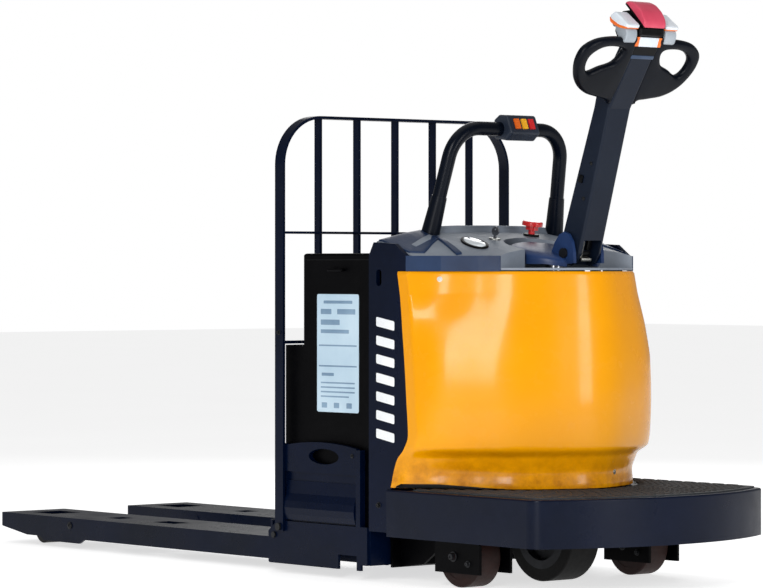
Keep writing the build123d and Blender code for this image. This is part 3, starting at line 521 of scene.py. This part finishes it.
def screw(name, at, axis, r, body, mat="zinc", h=0.0035, hexed=False):
    """Washer and domed or hexagonal head with a recess."""
    bm = bmesh.new()
    ax = Vector(axis).normalized()
    lathe(bm, at, ax, [(r * 1.45, -0.004), (r * 1.45, 0.0008), (r * 1.35, 0.0014), (r * 0.4, 0.0014)], 36)
    if hexed:
        lathe(bm, at, ax, [(r * 1.05, 0.0), (r * 1.05, h * 1.5), (r * 0.9, h * 1.9), (r * 0.45, h * 1.9), (r * 0.4, h * 1.6)], 6)
    else:
        lathe(bm, at, ax, [(r, 0.0), (r, h * 0.5), (r * 0.85, h * 0.85), (r * 0.5, h), (r * 0.46, h * 0.5), (r * 0.1, h * 0.45)], 30)
    return obj_from(name, bm, M[mat], body, sharp=30.0)


# ------------------------------------------------------------------ CAD nodes with rounded edges
for name, mm in BEVEL.items():
    if name in N:
        bevel_mod(N[name], mm)

# ------------------------------------------------------------------ plate on the battery case and stripes on the side panel
def plate(name, x0, x1, z0, z1, y, t, mat, body, r=4.0, skew=0.0, slant=0.0):
    """Thin rounded plate standing off a side face toward -Y."""
    bm = bmesh.new()
    pts = []
    for cx_, cz_, a0 in ((x1 - r, z1 - r, 0), (x0 + r, z1 - r, 90), (x0 + r, z0 + r, 180), (x1 - r, z0 + r, 270)):
        for k in range(7):
            a = math.radians(a0 + 90 * k / 6)
            x, z = cx_ + r * math.cos(a), cz_ + r * math.sin(a)
            pts.append((x + skew * (z - z0), z + slant * (x - x0)))
    rings = []
    for off, ins in ((0.0, 0.0), (t * 0.7, 0.0), (t, min(0.4, r * 0.4))):
        cxm, czm = (x0 + x1) / 2, (z0 + z1) / 2
        rings.append([T(x + (cxm - x) * ins / max(8.0, (x1 - x0) / 2), y - off, z + (czm - z) * ins / max(8.0, (z1 - z0) / 2)) for x, z in pts])
    ring_skin(bm, rings)
    return obj_from(name, bm, M[mat], body, sharp=25.0)


plate("case_plate", 130, 302, 433, 743, -379, 1.0, "label", "carriage", 6.0)
rows = [(718, 726, 158, 276), (690, 704, 146, 190), (690, 704, 214, 288), (662, 676, 146, 224), (640, 650, 146, 262), (606, 610, 138, 294), (552, 556, 138, 294), (528, 536, 150, 200), (508, 512, 146, 286), (496, 500, 146, 286), (484, 488, 146, 286), (472, 476, 146, 262), (444, 458, 150, 172), (444, 458, 200, 222), (444, 458, 252, 274)]
for i, (a, b, c, d) in enumerate(rows):
    plate(f"case_plate_bar_{i:02d}", c, d, a, b, -380.0, 0.25, "labelbar", "carriage", 1.2)

for i in range(7):
    z0 = 374 + 48 * i
    plate(f"panel_stripe_{i}", 396, 468, z0, z0 + 24, -399, 0.6, "stripe", "chassis", 4.0, 0.0, -0.16)

# ------------------------------------------------------------------ screws
for i, (f, z) in enumerate(((0.108, 783), (0.892, 783), (0.565, 286))):
    p, nrm = on_cover(f, z)
    screw(f"cover_screw_{i}", p, nrm, 0.0048, "chassis")

# painted shadow: a dark strip laid on the cover's foot under its near corner, where the gap under the cover shows
# black; mirrored on the far side
for tag, f0, f1 in (("left", 0.015, 0.27), ("right", 0.985, 0.73)):
    bm = bmesh.new()
    rings = []
    for i in range(41):
        f = f0 + (f1 - f0) * i / 40
        h = 10.5 * min(1.0, (i + 1) / 3.0) * (1.0 if i < 16 else max(0.12, 1 - (i - 16) / 24.0))
        ring = []
        for out, z in ((-2.5, 248.2), (1.0, 248.2), (1.0, 248.2 + h * 0.8), (0.6, 248.2 + h), (-2.5, 248.2 + h)):
            ring.append(on_cover(f, z, out)[0])
        rings.append(ring)
    ring_skin(bm, rings)
    obj_from(f"painted_toe_shadow_{tag}", bm, M["dark"], "chassis", sharp=40.0)

# ------------------------------------------------------------------ mat ribs
def arc_x(y, inset):
    """X of the platform's arched end at a given Y."""
    yh = 404.0 - inset
    xe, xc = 1000.0 - inset, 1114.0 - inset
    h = xc - xe
    r = (yh * yh + h * h) / (2 * h)
    cx_ = xc - r
    v = r * r - y * y
    return cx_ + math.sqrt(max(v, 0.0))


FOOT = contour_points(248, -6.0, 12)


def foot_x(y):
    """X where the cover's foot ends at a given Y."""
    best = 440.0
    for a, b in zip(FOOT, FOOT[1:]):
        if (a.y <= y <= b.y or b.y <= y <= a.y) and abs(b.y - a.y) > 1e-6:
            t = (y - a.y) / (b.y - a.y)
            best = max(best, a.x + (b.x - a.x) * t)
    return best


def lozenge(bm, x0, x1, y, w, z, h):
    """Raised tread bar with pointed ends and a chamfered top."""
    rings = []
    for zz, ins in ((z - 0.4, 0.0), (z + h * 0.55, 0.0), (z + h, 1.2)):
        ww = w / 2 - ins
        rings.append([T(x0 + 4 + ins, y - ww, zz), T(x1 - 4 - ins, y - ww, zz), T(x1 - ins * 1.6, y, zz), T(x1 - 4 - ins, y + ww, zz), T(x0 + 4 + ins, y + ww, zz), T(x0 + ins * 1.6, y, zz)])
    ring_skin(bm, rings)


bm = bmesh.new()
row = 0
y = -378.0
while y <= 378.1:
    x_end = arc_x(y, 24) - (6 if abs(y) > 350 else 0)
    if abs(y) > 352:
        x_end -= (abs(y) - 352) * 1.1
    x = foot_x(y) + 12 + (26 if row % 2 else 0)
    while x + 20 < x_end:
        e = min(x + 44, x_end)
        lozenge(bm, x, e, y, 7.5, 246.0, 1.8)
        x += 52
    y += 13.5
    row += 1
obj_from("mat_tread", bm, M["mat"], "chassis", sharp=20.0)

# ------------------------------------------------------------------ console panel details
TOPC = half_contour(803, 1.0)
TOPC = sorted([(p[1], p[0]) for p in TOPC + [(x, -y) for x, y in TOPC[-2::-1]]])


def line_at(table, v):
    if v <= table[0][0]:
        return table[0][1]
    for (a, fa), (b, fb) in zip(table, table[1:]):
        if a <= v <= b and b > a:
            return fa + (fb - fa) * (v - a) / (b - a)
    return table[-1][1]


def ridge_z(y):
    return line_at([(0, 918), (120, 917), (200, 914), (300, 899), (399, 878)], abs(y))


def rim_d(y):
    return max(0.0, min(1.0, (262 - abs(y)) / 40.0)) * 9.0


def panel_z(x, y):
    zr, xc = ridge_z(y) - 2 - rim_d(y), line_at(TOPC, y)
    if x < 404:
        return line_at([(366, ridge_z(y) - 34), (384, ridge_z(y)), (398, ridge_z(y) - 1), (404, zr)], x)
    return zr - (x - 404) * (zr - 843) / (xc - 404)


def panel_patch(name, poly, lift, mat, edge=2.0, cell=9.0, base=-1.0):
    """Raised pad that follows the console's surface, with a rounded rim; poly in plan, counter-clockwise."""
    cx_ = sum(p[0] for p in poly) / len(poly)
    cy_ = sum(p[1] for p in poly) / len(poly)
    dense = []
    for (x0, y0), (x1, y1) in zip(poly, poly[1:] + poly[:1]):
        k = max(2, int(math.hypot(x1 - x0, y1 - y0) / cell))
        dense += [(x0 + (x1 - x0) * i / k, y0 + (y1 - y0) * i / k) for i in range(k)]
    bm = bmesh.new()
    R = max(math.hypot(x - cx_, y - cy_) for x, y in dense)

    def ring(shrink, up):
        out = []
        for x, y in dense:
            d = math.hypot(x - cx_, y - cy_)
            k = max(0.0, (d - shrink) / d) if d > 1e-6 else 0
            xx, yy = cx_ + (x - cx_) * k, cy_ + (y - cy_) * k
            out.append(T(xx, yy, panel_z(xx, yy) + up))
        return out

    def scaled(f, up):
        out = []
        for x, y in dense:
            xx, yy = cx_ + (x - cx_) * f, cy_ + (y - cy_) * f
            out.append(T(xx, yy, panel_z(xx, yy) + up))
        return out

    rings = [ring(0, base), ring(0, lift - edge * 0.6), ring(edge * 0.35, lift - edge * 0.18), ring(edge, lift)]
    rings += [scaled(f, lift) for f in (0.8, 0.6, 0.4, 0.2, 0.04)]
    ring_skin(bm, rings)
    return obj_from(name, bm, M[mat], "chassis", sharp=40.0)


for s, tag in ((-1, "left"), (1, "right")):
    wing = [(388, -384), (388, -244), (404, -240), (480, -262), (532, -352), (506, -382)]
    inlay = [(446, -262), (456, -262), (476, -282), (492, -346), (474, -346), (458, -300)]
    bar = [(448, -250), (460, -240), (606, -290), (600, -303)]
    if s > 0:
        wing, inlay, bar = [[(x, -y) for x, y in p[::-1]] for p in (wing, inlay, bar)]
    panel_patch(f"console_wing_{tag}", wing, 4.5, "fascia", 3.0)
    panel_patch(f"console_inlay_{tag}", inlay, 6.2, "console", 1.4, 6.0)
    panel_patch(f"console_rib_{tag}", bar, 5.5, "fascia", 2.4, 6.0)

# raised rim along the console's ridge
bm = bmesh.new()
pts, rad = [], []
for i in range(81):
    y = -250 + 500 * i / 80
    k = min(1.0, (250 - abs(y)) / 60.0)
    pts.append(T(391 + 3 * (1 - k), y, ridge_z(y) - 2.5 + 2.5 * k))
    rad.append(0.003 + 0.0035 * k)
tube(bm, pts, 0.006, 16, True, rad)
obj_from("console_rim", bm, M["console"], "chassis", sharp=40.0)

# charge gauge: oval lens in a dark bezel
G0, G1 = (497, -177), (607, -220)
gx, gy = (G0[0] + G1[0]) / 2, (G0[1] + G1[1]) / 2
glen = math.hypot(G1[0] - G0[0], G1[1] - G0[1]) / 2
gdir = ((G1[0] - G0[0]) / (2 * glen), (G1[1] - G0[1]) / (2 * glen))


def oval(a, b, up, k=48):
    out = []
    for i in range(k):
        t = 2 * math.pi * i / k
        u, v = a * math.cos(t), b * math.sin(t)
        x, y = gx + gdir[0] * u - gdir[1] * v, gy + gdir[1] * u + gdir[0] * v
        out.append(T(x, y, panel_z(x, y) + up))
    return out


bm = bmesh.new()
ring_skin(bm, [oval(glen + 7, 30, -1.0), oval(glen + 7, 30, 3.0), oval(glen + 5.5, 28.5, 5.0), oval(glen + 1.5, 24.5, 5.4), oval(glen, 23, 3.4), oval(glen * 0.5, 11, 3.2), oval(glen * 0.05, 1.0, 3.2)])
obj_from("gauge_bezel", bm, M["dark"], "chassis", sharp=40.0, replaces=["charge_gauge"])
bm = bmesh.new()
ring_skin(bm, [oval(glen - 0.4, 22.6, 3.0), oval(glen - 0.4, 22.6, 4.6), oval(glen - 2.5, 20.5, 6.0), oval(glen * 0.75, 16, 7.4), oval(glen * 0.4, 8, 8.4), oval(glen * 0.05, 1.0, 8.6)])
obj_from("gauge_lens", bm, M["gauge"], "chassis", sharp=60.0)

# ------------------------------------------------------------------ hub dish
def hub_z(x):
    return 875 - (x - 500) * 57 / 290


bm = bmesh.new()
prof = [(117.6, -12.0), (118.0, -5.0), (117.6, 1.0), (115.5, 5.5), (110.0, 9.5), (100.0, 12.6), (84.0, 14.8), (62.0, 16.2), (38.0, 17.0), (14.0, 17.2), (1.0, 17.2)]
SWEEP = [math.radians(27 + 306 * i / 84) for i in range(85)]
rings = []
for r, up in prof:
    rings.append([T(641 + r * math.cos(a), r * math.sin(a), hub_z(641 + r * math.cos(a)) + up) for a in SWEEP])
vs = [[bm.verts.new(p) for p in r] for r in rings]
for a, b in zip(vs, vs[1:]):
    for i in range(84):
        bm.faces.new((a[i], a[i + 1], b[i + 1], b[i]))
floor_z = -12.0
for i in (0, 84):
    a = SWEEP[i]
    low = [bm.verts.new(T(641 + r * math.cos(a), r * math.sin(a), hub_z(641 + r * math.cos(a)) + floor_z)) for r, up in prof[1:]]
    edge = [v[i] for v in vs]
    bm.faces.new((edge[0], edge[1], low[0]))
    for k in range(len(low) - 1):
        bm.faces.new((edge[k + 1], edge[k + 2], low[k + 1], low[k]))
hub_dish = obj_from("hub_dish", bm, M["hub"], "steering", sharp=50.0)

# ------------------------------------------------------------------ tiller
P0 = Vector((736.0, 850.0))
K0 = Vector((857.0, 1228.0))
D = (K0 - P0).normalized()
Q = Vector((D.y, -D.x))
ND = Vector((0.553, 0.833))
NQ = Vector((0.833, -0.553))


def til(al, off, y):
    """Point on the lower arm: along it, off its middle plane toward the operator, and across."""
    p = P0 + D * al + Q * off
    return T(p.x, y, p.y)


def nek(v, off, y):
    p = K0 + ND * v + NQ * off
    return T(p.x, y, p.y)


def block(name, f, us, vs_, ws, mat, body, rnd=1.5, seg=2):
    """Rounded block given by a frame function over three ranges."""
    bm = bmesh.new()
    c = [f(u, v, w) for u in us for v in vs_ for w in ws]
    v = [bm.verts.new(p) for p in c]
    for q in ((0, 1, 3, 2), (4, 6, 7, 5), (0, 4, 5, 1), (2, 3, 7, 6), (0, 2, 6, 4), (1, 5, 7, 3)):
        bm.faces.new([v[i] for i in q])
    bmesh.ops.recalc_face_normals(bm, faces=bm.faces)
    bmesh.ops.bevel(bm, geom=list(bm.edges), offset=rnd / 1000.0, segments=seg, profile=0.5, affect="EDGES", clamp_overlap=True)
    return obj_from(name, bm, M[mat], body, sharp=40.0)


# catch bracket in the arm's open foot
block("foot_bracket_upright", til, (-12, 34), (5, 9), (-13, 3), "zinc", "tiller", 1.0)
block("foot_bracket_arm", til, (-14, -6), (6, 26), (-13, 22), "zinc", "tiller", 1.0)
block("foot_spring_case", til, (10, 40), (4, 12), (10, 24), "dark", "tiller", 2.0)
# seam and light trim strip below the head
block("neck_trim", nek, (153, 163), (20, 28.6), (-39.2, 39.2), "trim", "tiller", 1.2)
block("neck_seam", nek, (2.0, 4.2), (20, 27.9), (-38.0, 38.0), "dark", "tiller", 0.4, 1)
# cable clip on the arm's left flank
block("arm_clip", til, (186, 206), (-18, -4), (-45, -38), "dark", "tiller", 2.0)
for i, al in enumerate((150, 244)):
    screw(f"arm_screw_{i}", til(al, 12, -39.5), (0, -1, 0), 0.0036, "tiller", "boltblack")

# ------------------------------------------------------------------ loop grips
LOOP_OUT = [(34, 203), (76, 206), (122, 206), (170, 196), (204, 170), (209, 130), (192, 88), (166, 60), (132, 42), (96, 34), (60, 28), (34, 27)]
LOOP_HOLE = [(68, 172), (106, 181), (146, 174), (173, 150), (172, 120), (154, 104), (120, 119), (82, 136)]


def closed_path(pts, steps=8):
    P = [Vector(p) for p in pts]
    k, out = len(P), []
    for i in range(k):
        a, b, c, d = P[i - 1], P[i], P[(i + 1) % k], P[(i + 2) % k]
        for q in range(steps):
            t = q / steps
            out.append(0.5 * ((2 * b) + (c - a) * t + (2 * a - 5 * b + 4 * c - d) * t * t + (3 * b - a - 3 * c + d) * t * t * t))
    return out


def inset_path(pts, d):
    """Moves a closed outline by d toward its left-hand side."""
    k, out = len(pts), []
    for i, p in enumerate(pts):
        t = (pts[(i + 1) % k] - pts[i - 1]).normalized()
        out.append(p + Vector((-t.y, t.x)) * d)
    return out


def signed_area(pts):
    return sum(a.x * b.y - b.x * a.y for a, b in zip(pts, pts[1:] + pts[:1])) / 2


def loop_grip(name, s, replaces=()):
    """Flat loop with a full round edge outside and round the hand hole."""
    line = closed_path(LOOP_OUT)
    hole = closed_path(LOOP_HOLE)
    if signed_area(line) < 0:
        line = line[::-1]
    if signed_area(hole) < 0:
        hole = hole[::-1]
    r, mid = 12.2, 15.5
    bm = bmesh.new()
    tops, bots = [], []
    for path, sign in ((line, 1.0), (hole, -1.0)):
        rings = []
        for i in range(13):
            a = math.radians(-90 + 180 * i / 12)
            ins = r * 0.95 * (1 - math.cos(a))
            pts = inset_path(path, sign * ins)
            rings.append([bm.verts.new(nek(p.y, mid + r * math.sin(a), s * p.x)) for p in pts])
        k = len(rings[0])
        for a, b in zip(rings, rings[1:]):
            for i in range(k):
                j = (i + 1) % k
                bm.faces.new((a[i], a[j], b[j], b[i]))
        bots.append(rings[0])
        tops.append(rings[-1])
    for pair in (tops, bots):
        es = []
        for ring in pair:
            for a, b in zip(ring, ring[1:] + ring[:1]):
                e = bm.edges.get((a, b))
                es.append(e)
        bmesh.ops.triangle_fill(bm, use_beauty=True, use_dissolve=False, edges=es)
    return obj_from(name, bm, M["loops"], "tiller", sharp=60.0, replaces=replaces)


loop_grip("loop_left", -1, replaces=["handle_loops"])
loop_grip("loop_right", 1)


# ------------------------------------------------------------------ tiller head
def pillow(name, prof, y0, y1, rnd, mat, body, sub=6, replaces=(), sharp=50.0, closed_smooth=True):
    """Closed XZ profile carried across Y with rounded shoulders."""
    if closed_smooth:
        P = [Vector((x, z)) for x, z in prof]
        k = len(P)
        dense = []
        for i in range(k):
            a, b, c, d = P[i - 1], P[i], P[(i + 1) % k], P[(i + 2) % k]
            for s in range(sub):
                t = s / sub
                # chord mostly, with a little roundness at the corners
                q = 0.5 * ((2 * b) + (c - a) * t + (2 * a - 5 * b + 4 * c - d) * t * t + (3 * b - a - 3 * c + d) * t * t * t)
                dense.append(b.lerp(c, t).lerp(q, 0.75))
    else:
        dense = [Vector((x, z)) for x, z in prof]
    cen = sum(dense, Vector((0, 0))) / len(dense)
    rings = []
    mid, half = (y0 + y1) / 2, (y1 - y0) / 2
    steps = 7
    ys = []
    for i in range(steps + 1):
        a = math.pi / 2 * i / steps
        ys.append((-half + rnd * (1 - math.sin(a)), rnd * (1 - math.cos(a))))
    ys = sorted(set(ys))
    left = [(y, ins) for y, ins in ys]
    prof_y = left + [(-y, ins) for y, ins in left[::-1]]
    for y, ins in prof_y:
        ring = []
        for p in dense:
            d = p - cen
            L = d.length
            q = cen + d * max(0.05, (L - ins) / L)
            ring.append(T(q.x, mid + y, q.y))
        rings.append(ring)
    bm = bmesh.new()
    ring_skin(bm, rings)
    return obj_from(name, bm, M[mat], body, sharp=sharp, replaces=replaces)


CAP = [(1010, 1417), (981, 1446), (952, 1475), (944, 1484), (958, 1486), (981, 1477), (1002, 1459), (1014, 1438), (1016, 1424)]
pillow("reverse_cap", CAP, -38, 38, 6.0, "cap", "belly_button", replaces=["reverse_button"])
pillow("reverse_cap_rim", [(1007.5, 1417.5), (979, 1446), (949, 1476), (946, 1480), (953, 1479), (983, 1450), (1011, 1421)], -38.8, 38.8, 1.2, "dark", "belly_button")

PAD = [(945, 1448), (956, 1455.5), (964, 1456), (986, 1440), (1006, 1424), (1007.5, 1418), (1001, 1414), (982, 1417.5), (962, 1426), (947, 1435)]
TRIM = [(943.5, 1445), (951, 1439), (963, 1432), (982, 1422), (1002, 1416.5), (1003, 1413.5), (995, 1412.5), (976, 1416), (958, 1424), (945, 1433)]
LOW = [(962, 1428), (982, 1420), (1000, 1412), (1003, 1402), (1000, 1389), (994, 1380), (984, 1378), (975, 1386), (966, 1400), (960, 1414)]
first = True
for s, tag in ((-1, "left"), (1, "right")):
    ya, yb = (-91, -46) if s < 0 else (46, 91)
    o = pillow(f"paddle_{tag}", PAD, ya, yb, 5.0, "white", "throttle", replaces=["throttle_levers"] if first else ())
    first = False
    pillow(f"paddle_trim_{tag}", TRIM, ya - 0.8, yb + 0.0, 3.0, "orange", "throttle")
    ga, gb = (-88, -50) if s < 0 else (50, 88)
    pillow(f"paddle_root_{tag}", LOW, ga, gb, 4.0, "greylever", "tiller")
bm = bmesh.new()
tube(bm, [T(960, -88, 1428), T(960, 0, 1428), T(960, 88, 1428)], 0.009, 32)
obj_from("throttle_shaft", bm, M["steel"], "throttle")


def face_band(name, y0, y1, mat, lift=1.6):
    """Reflective insert on the head's lower face."""
    a, b = Vector((985.0, 1370.5)), Vector((994.0, 1393.5))
    d = (b - a).normalized()
    nn = Vector((d.y, -d.x))
    def f(u, v, w):
        p = a + d * u + nn * v
        return T(p.x, w, p.y)
    L = (b - a).length
    return block(name, f, (0.0, L), (-2.0, lift), (y0, y1), mat, "tiller", 0.8)


face_band("head_band", -33, 33, "white", 2.0)
face_band("head_band_left", -44.5, -33.2, "orange", 1.8)
face_band("head_band_right", 33.2, 44.5, "orange", 1.8)
for i in range(4):
    z = 1401 + i * 3.2
    block(f"head_vent_{i}", lambda u, v, w, z=z: T(1003 + (z - 1398) * 0.19 + u, w, z + v), (-2, 1.1), (-0.8, 0.8), (-34, 34), "dark", "tiller", 0.4, 1)

# ------------------------------------------------------------------ bolts and nuts
for s, tag in ((-1, "left"), (1, "right")):
    screw(f"rest_bolt_{tag}", T(0, s * 405, 640), (0, s, 0), 0.0045, "carriage", "boltblack", hexed=True)
    screw(f"fork_pin_{tag}", T(-1049, s * 344.2, 66), (0, s, 0), 0.007, "carriage", "boltblack")
    screw(f"gate_latch_{tag}", T(296, s * 397.2, 322), (0, s, 0), 0.004, f"gate_{tag}", "boltblack")
    for k, t in ((0, -1), (1, 1)):
        screw(f"caster_nut_{tag}_{k}", T(645, s * 297 + t * 57, 80), (0, t, 0), 0.009, f"caster_{tag}", "boltblack", hexed=True, h=0.0055)
    screw(f"yoke_bolt_{tag}", T(700, s * 297 - 56, 64), (0, -1, 0), 0.006, f"caster_{tag}", "boltblack", hexed=True)
    screw(f"panel_bolt_{tag}_0", T(406, s * 399, 200), (0, s, 0), 0.0055, "chassis", "boltblack", hexed=True)
for k in range(6):
    a = math.radians(60 * k + 15)
    screw(f"wheel_nut_{k}", T(641 + 54 * math.cos(a), 49.0, 120 + 54 * math.sin(a)) if False else T(641 + 30 * math.cos(a), -52, 120 + 30 * math.sin(a)), (0, -1, 0), 0.0055, "drive_wheel", hexed=True)

# lid seam and lifting lugs on the battery case
block("case_lid_seam", lambda u, v, w: T(u, w, v), (75, 353), (832, 834.5), (-379.6, 379.6), "dark", "carriage", 0.6, 1)
for s, tag in ((-1, "left"), (1, "right")):
    bm = bmesh.new()
    pts = [T(190, s * 381, 806), T(190, s * 389, 806), T(196, s * 391, 806), T(238, s * 391, 806), T(244, s * 389, 806), T(244, s * 381, 806)]
    tube(bm, smooth_path(pts, 5), 0.004, 14)
    obj_from(f"case_handle_{tag}", bm, M["black"], "carriage")

# ------------------------------------------------------------------ floor, lights, camera
def floor():
    k = Net("floor_white")
    col = k.ramp(k.noise(1.3, 4.0, 0.5), [(0.3, (0.86, 0.86, 0.86)), (0.7, (0.9, 0.9, 0.9))])
    k.set(Base_Color=col, Roughness=0.6, Normal=k.bump(k.noise(40.0, 3.0), 0.03, 0.001), Emission_Color=(1.0, 1.0, 1.0), Emission_Strength=0.66)
    bm = bmesh.new()
    vs = [bm.verts.new(p) for p in ((-30, -30, 0), (30, -30, 0), (30, 30, 0), (-30, 30, 0))]
    bm.faces.new(vs)
    me = bpy.data.meshes.new("floor")
    bm.to_mesh(me)
    bm.free()
    me.materials.append(k.m)
    o = bpy.data.objects.new("floor", me)
    coll.objects.link(o)


floor()


def area(name, at, target, size, power, color=(1, 1, 1), size_y=None):
    d = bpy.data.lights.new(name, "AREA")
    d.energy = power
    d.color = color
    d.shape = "RECTANGLE"
    d.size = size
    d.size_y = size_y or size
    o = bpy.data.objects.new(name, d)
    coll.objects.link(o)
    o.location = at
    o.rotation_mode = "QUATERNION"
    o.rotation_quaternion = (Vector(target) - Vector(at)).to_track_quat("-Z", "Y")
    return o


area("key_light", (3.6, -4.4, 2.2), (0.5, 0, 0.5), 1.0, 138, size_y=3.2)
area("top_light", (0.0, 0.0, 4.2), (0, 0, 0), 4.0, 34)
area("side_light", (5.0, 0.6, 1.5), (0.7, 0, 0.6), 0.7, 52, size_y=2.4)
area("back_light", (-3.0, 3.2, 2.6), (0, 0, 0.6), 2.4, 36)

world = bpy.data.worlds.new("world")
scene.world = world
world.use_nodes = True
wt = world.node_tree
sky = wt.nodes["Background"]
sky.inputs[0].default_value = (1.0, 1.0, 1.0, 1.0)
sky.inputs[1].default_value = 0.25
back = wt.nodes.new("ShaderNodeBackground")
back.inputs[0].default_value = (1.0, 1.0, 1.0, 1.0)
back.inputs[1].default_value = 1.0
ray = wt.nodes.new("ShaderNodeLightPath")
both = wt.nodes.new("ShaderNodeMixShader")
wt.links.new(ray.outputs["Is Camera Ray"], both.inputs[0])
wt.links.new(sky.outputs[0], both.inputs[1])
wt.links.new(back.outputs[0], both.inputs[2])
wt.links.new(both.outputs[0], wt.nodes["World Output"].inputs[0])

scene.view_settings.view_transform = "Standard"

cam = bpy.data.cameras.new("camera")
cam.sensor_width = 36.0
cam.lens = 171.98
cam.shift_y = -0.0358
cam.clip_end = 200
co = bpy.data.objects.new("camera", cam)
coll.objects.link(co)
co.location = (7.744, -6.447, 0.815)
co.rotation_mode = "QUATERNION"
co.rotation_quaternion = Vector((-0.76483, 0.64423, 0.0)).to_track_quat("-Z", "Y")
scene.camera = co
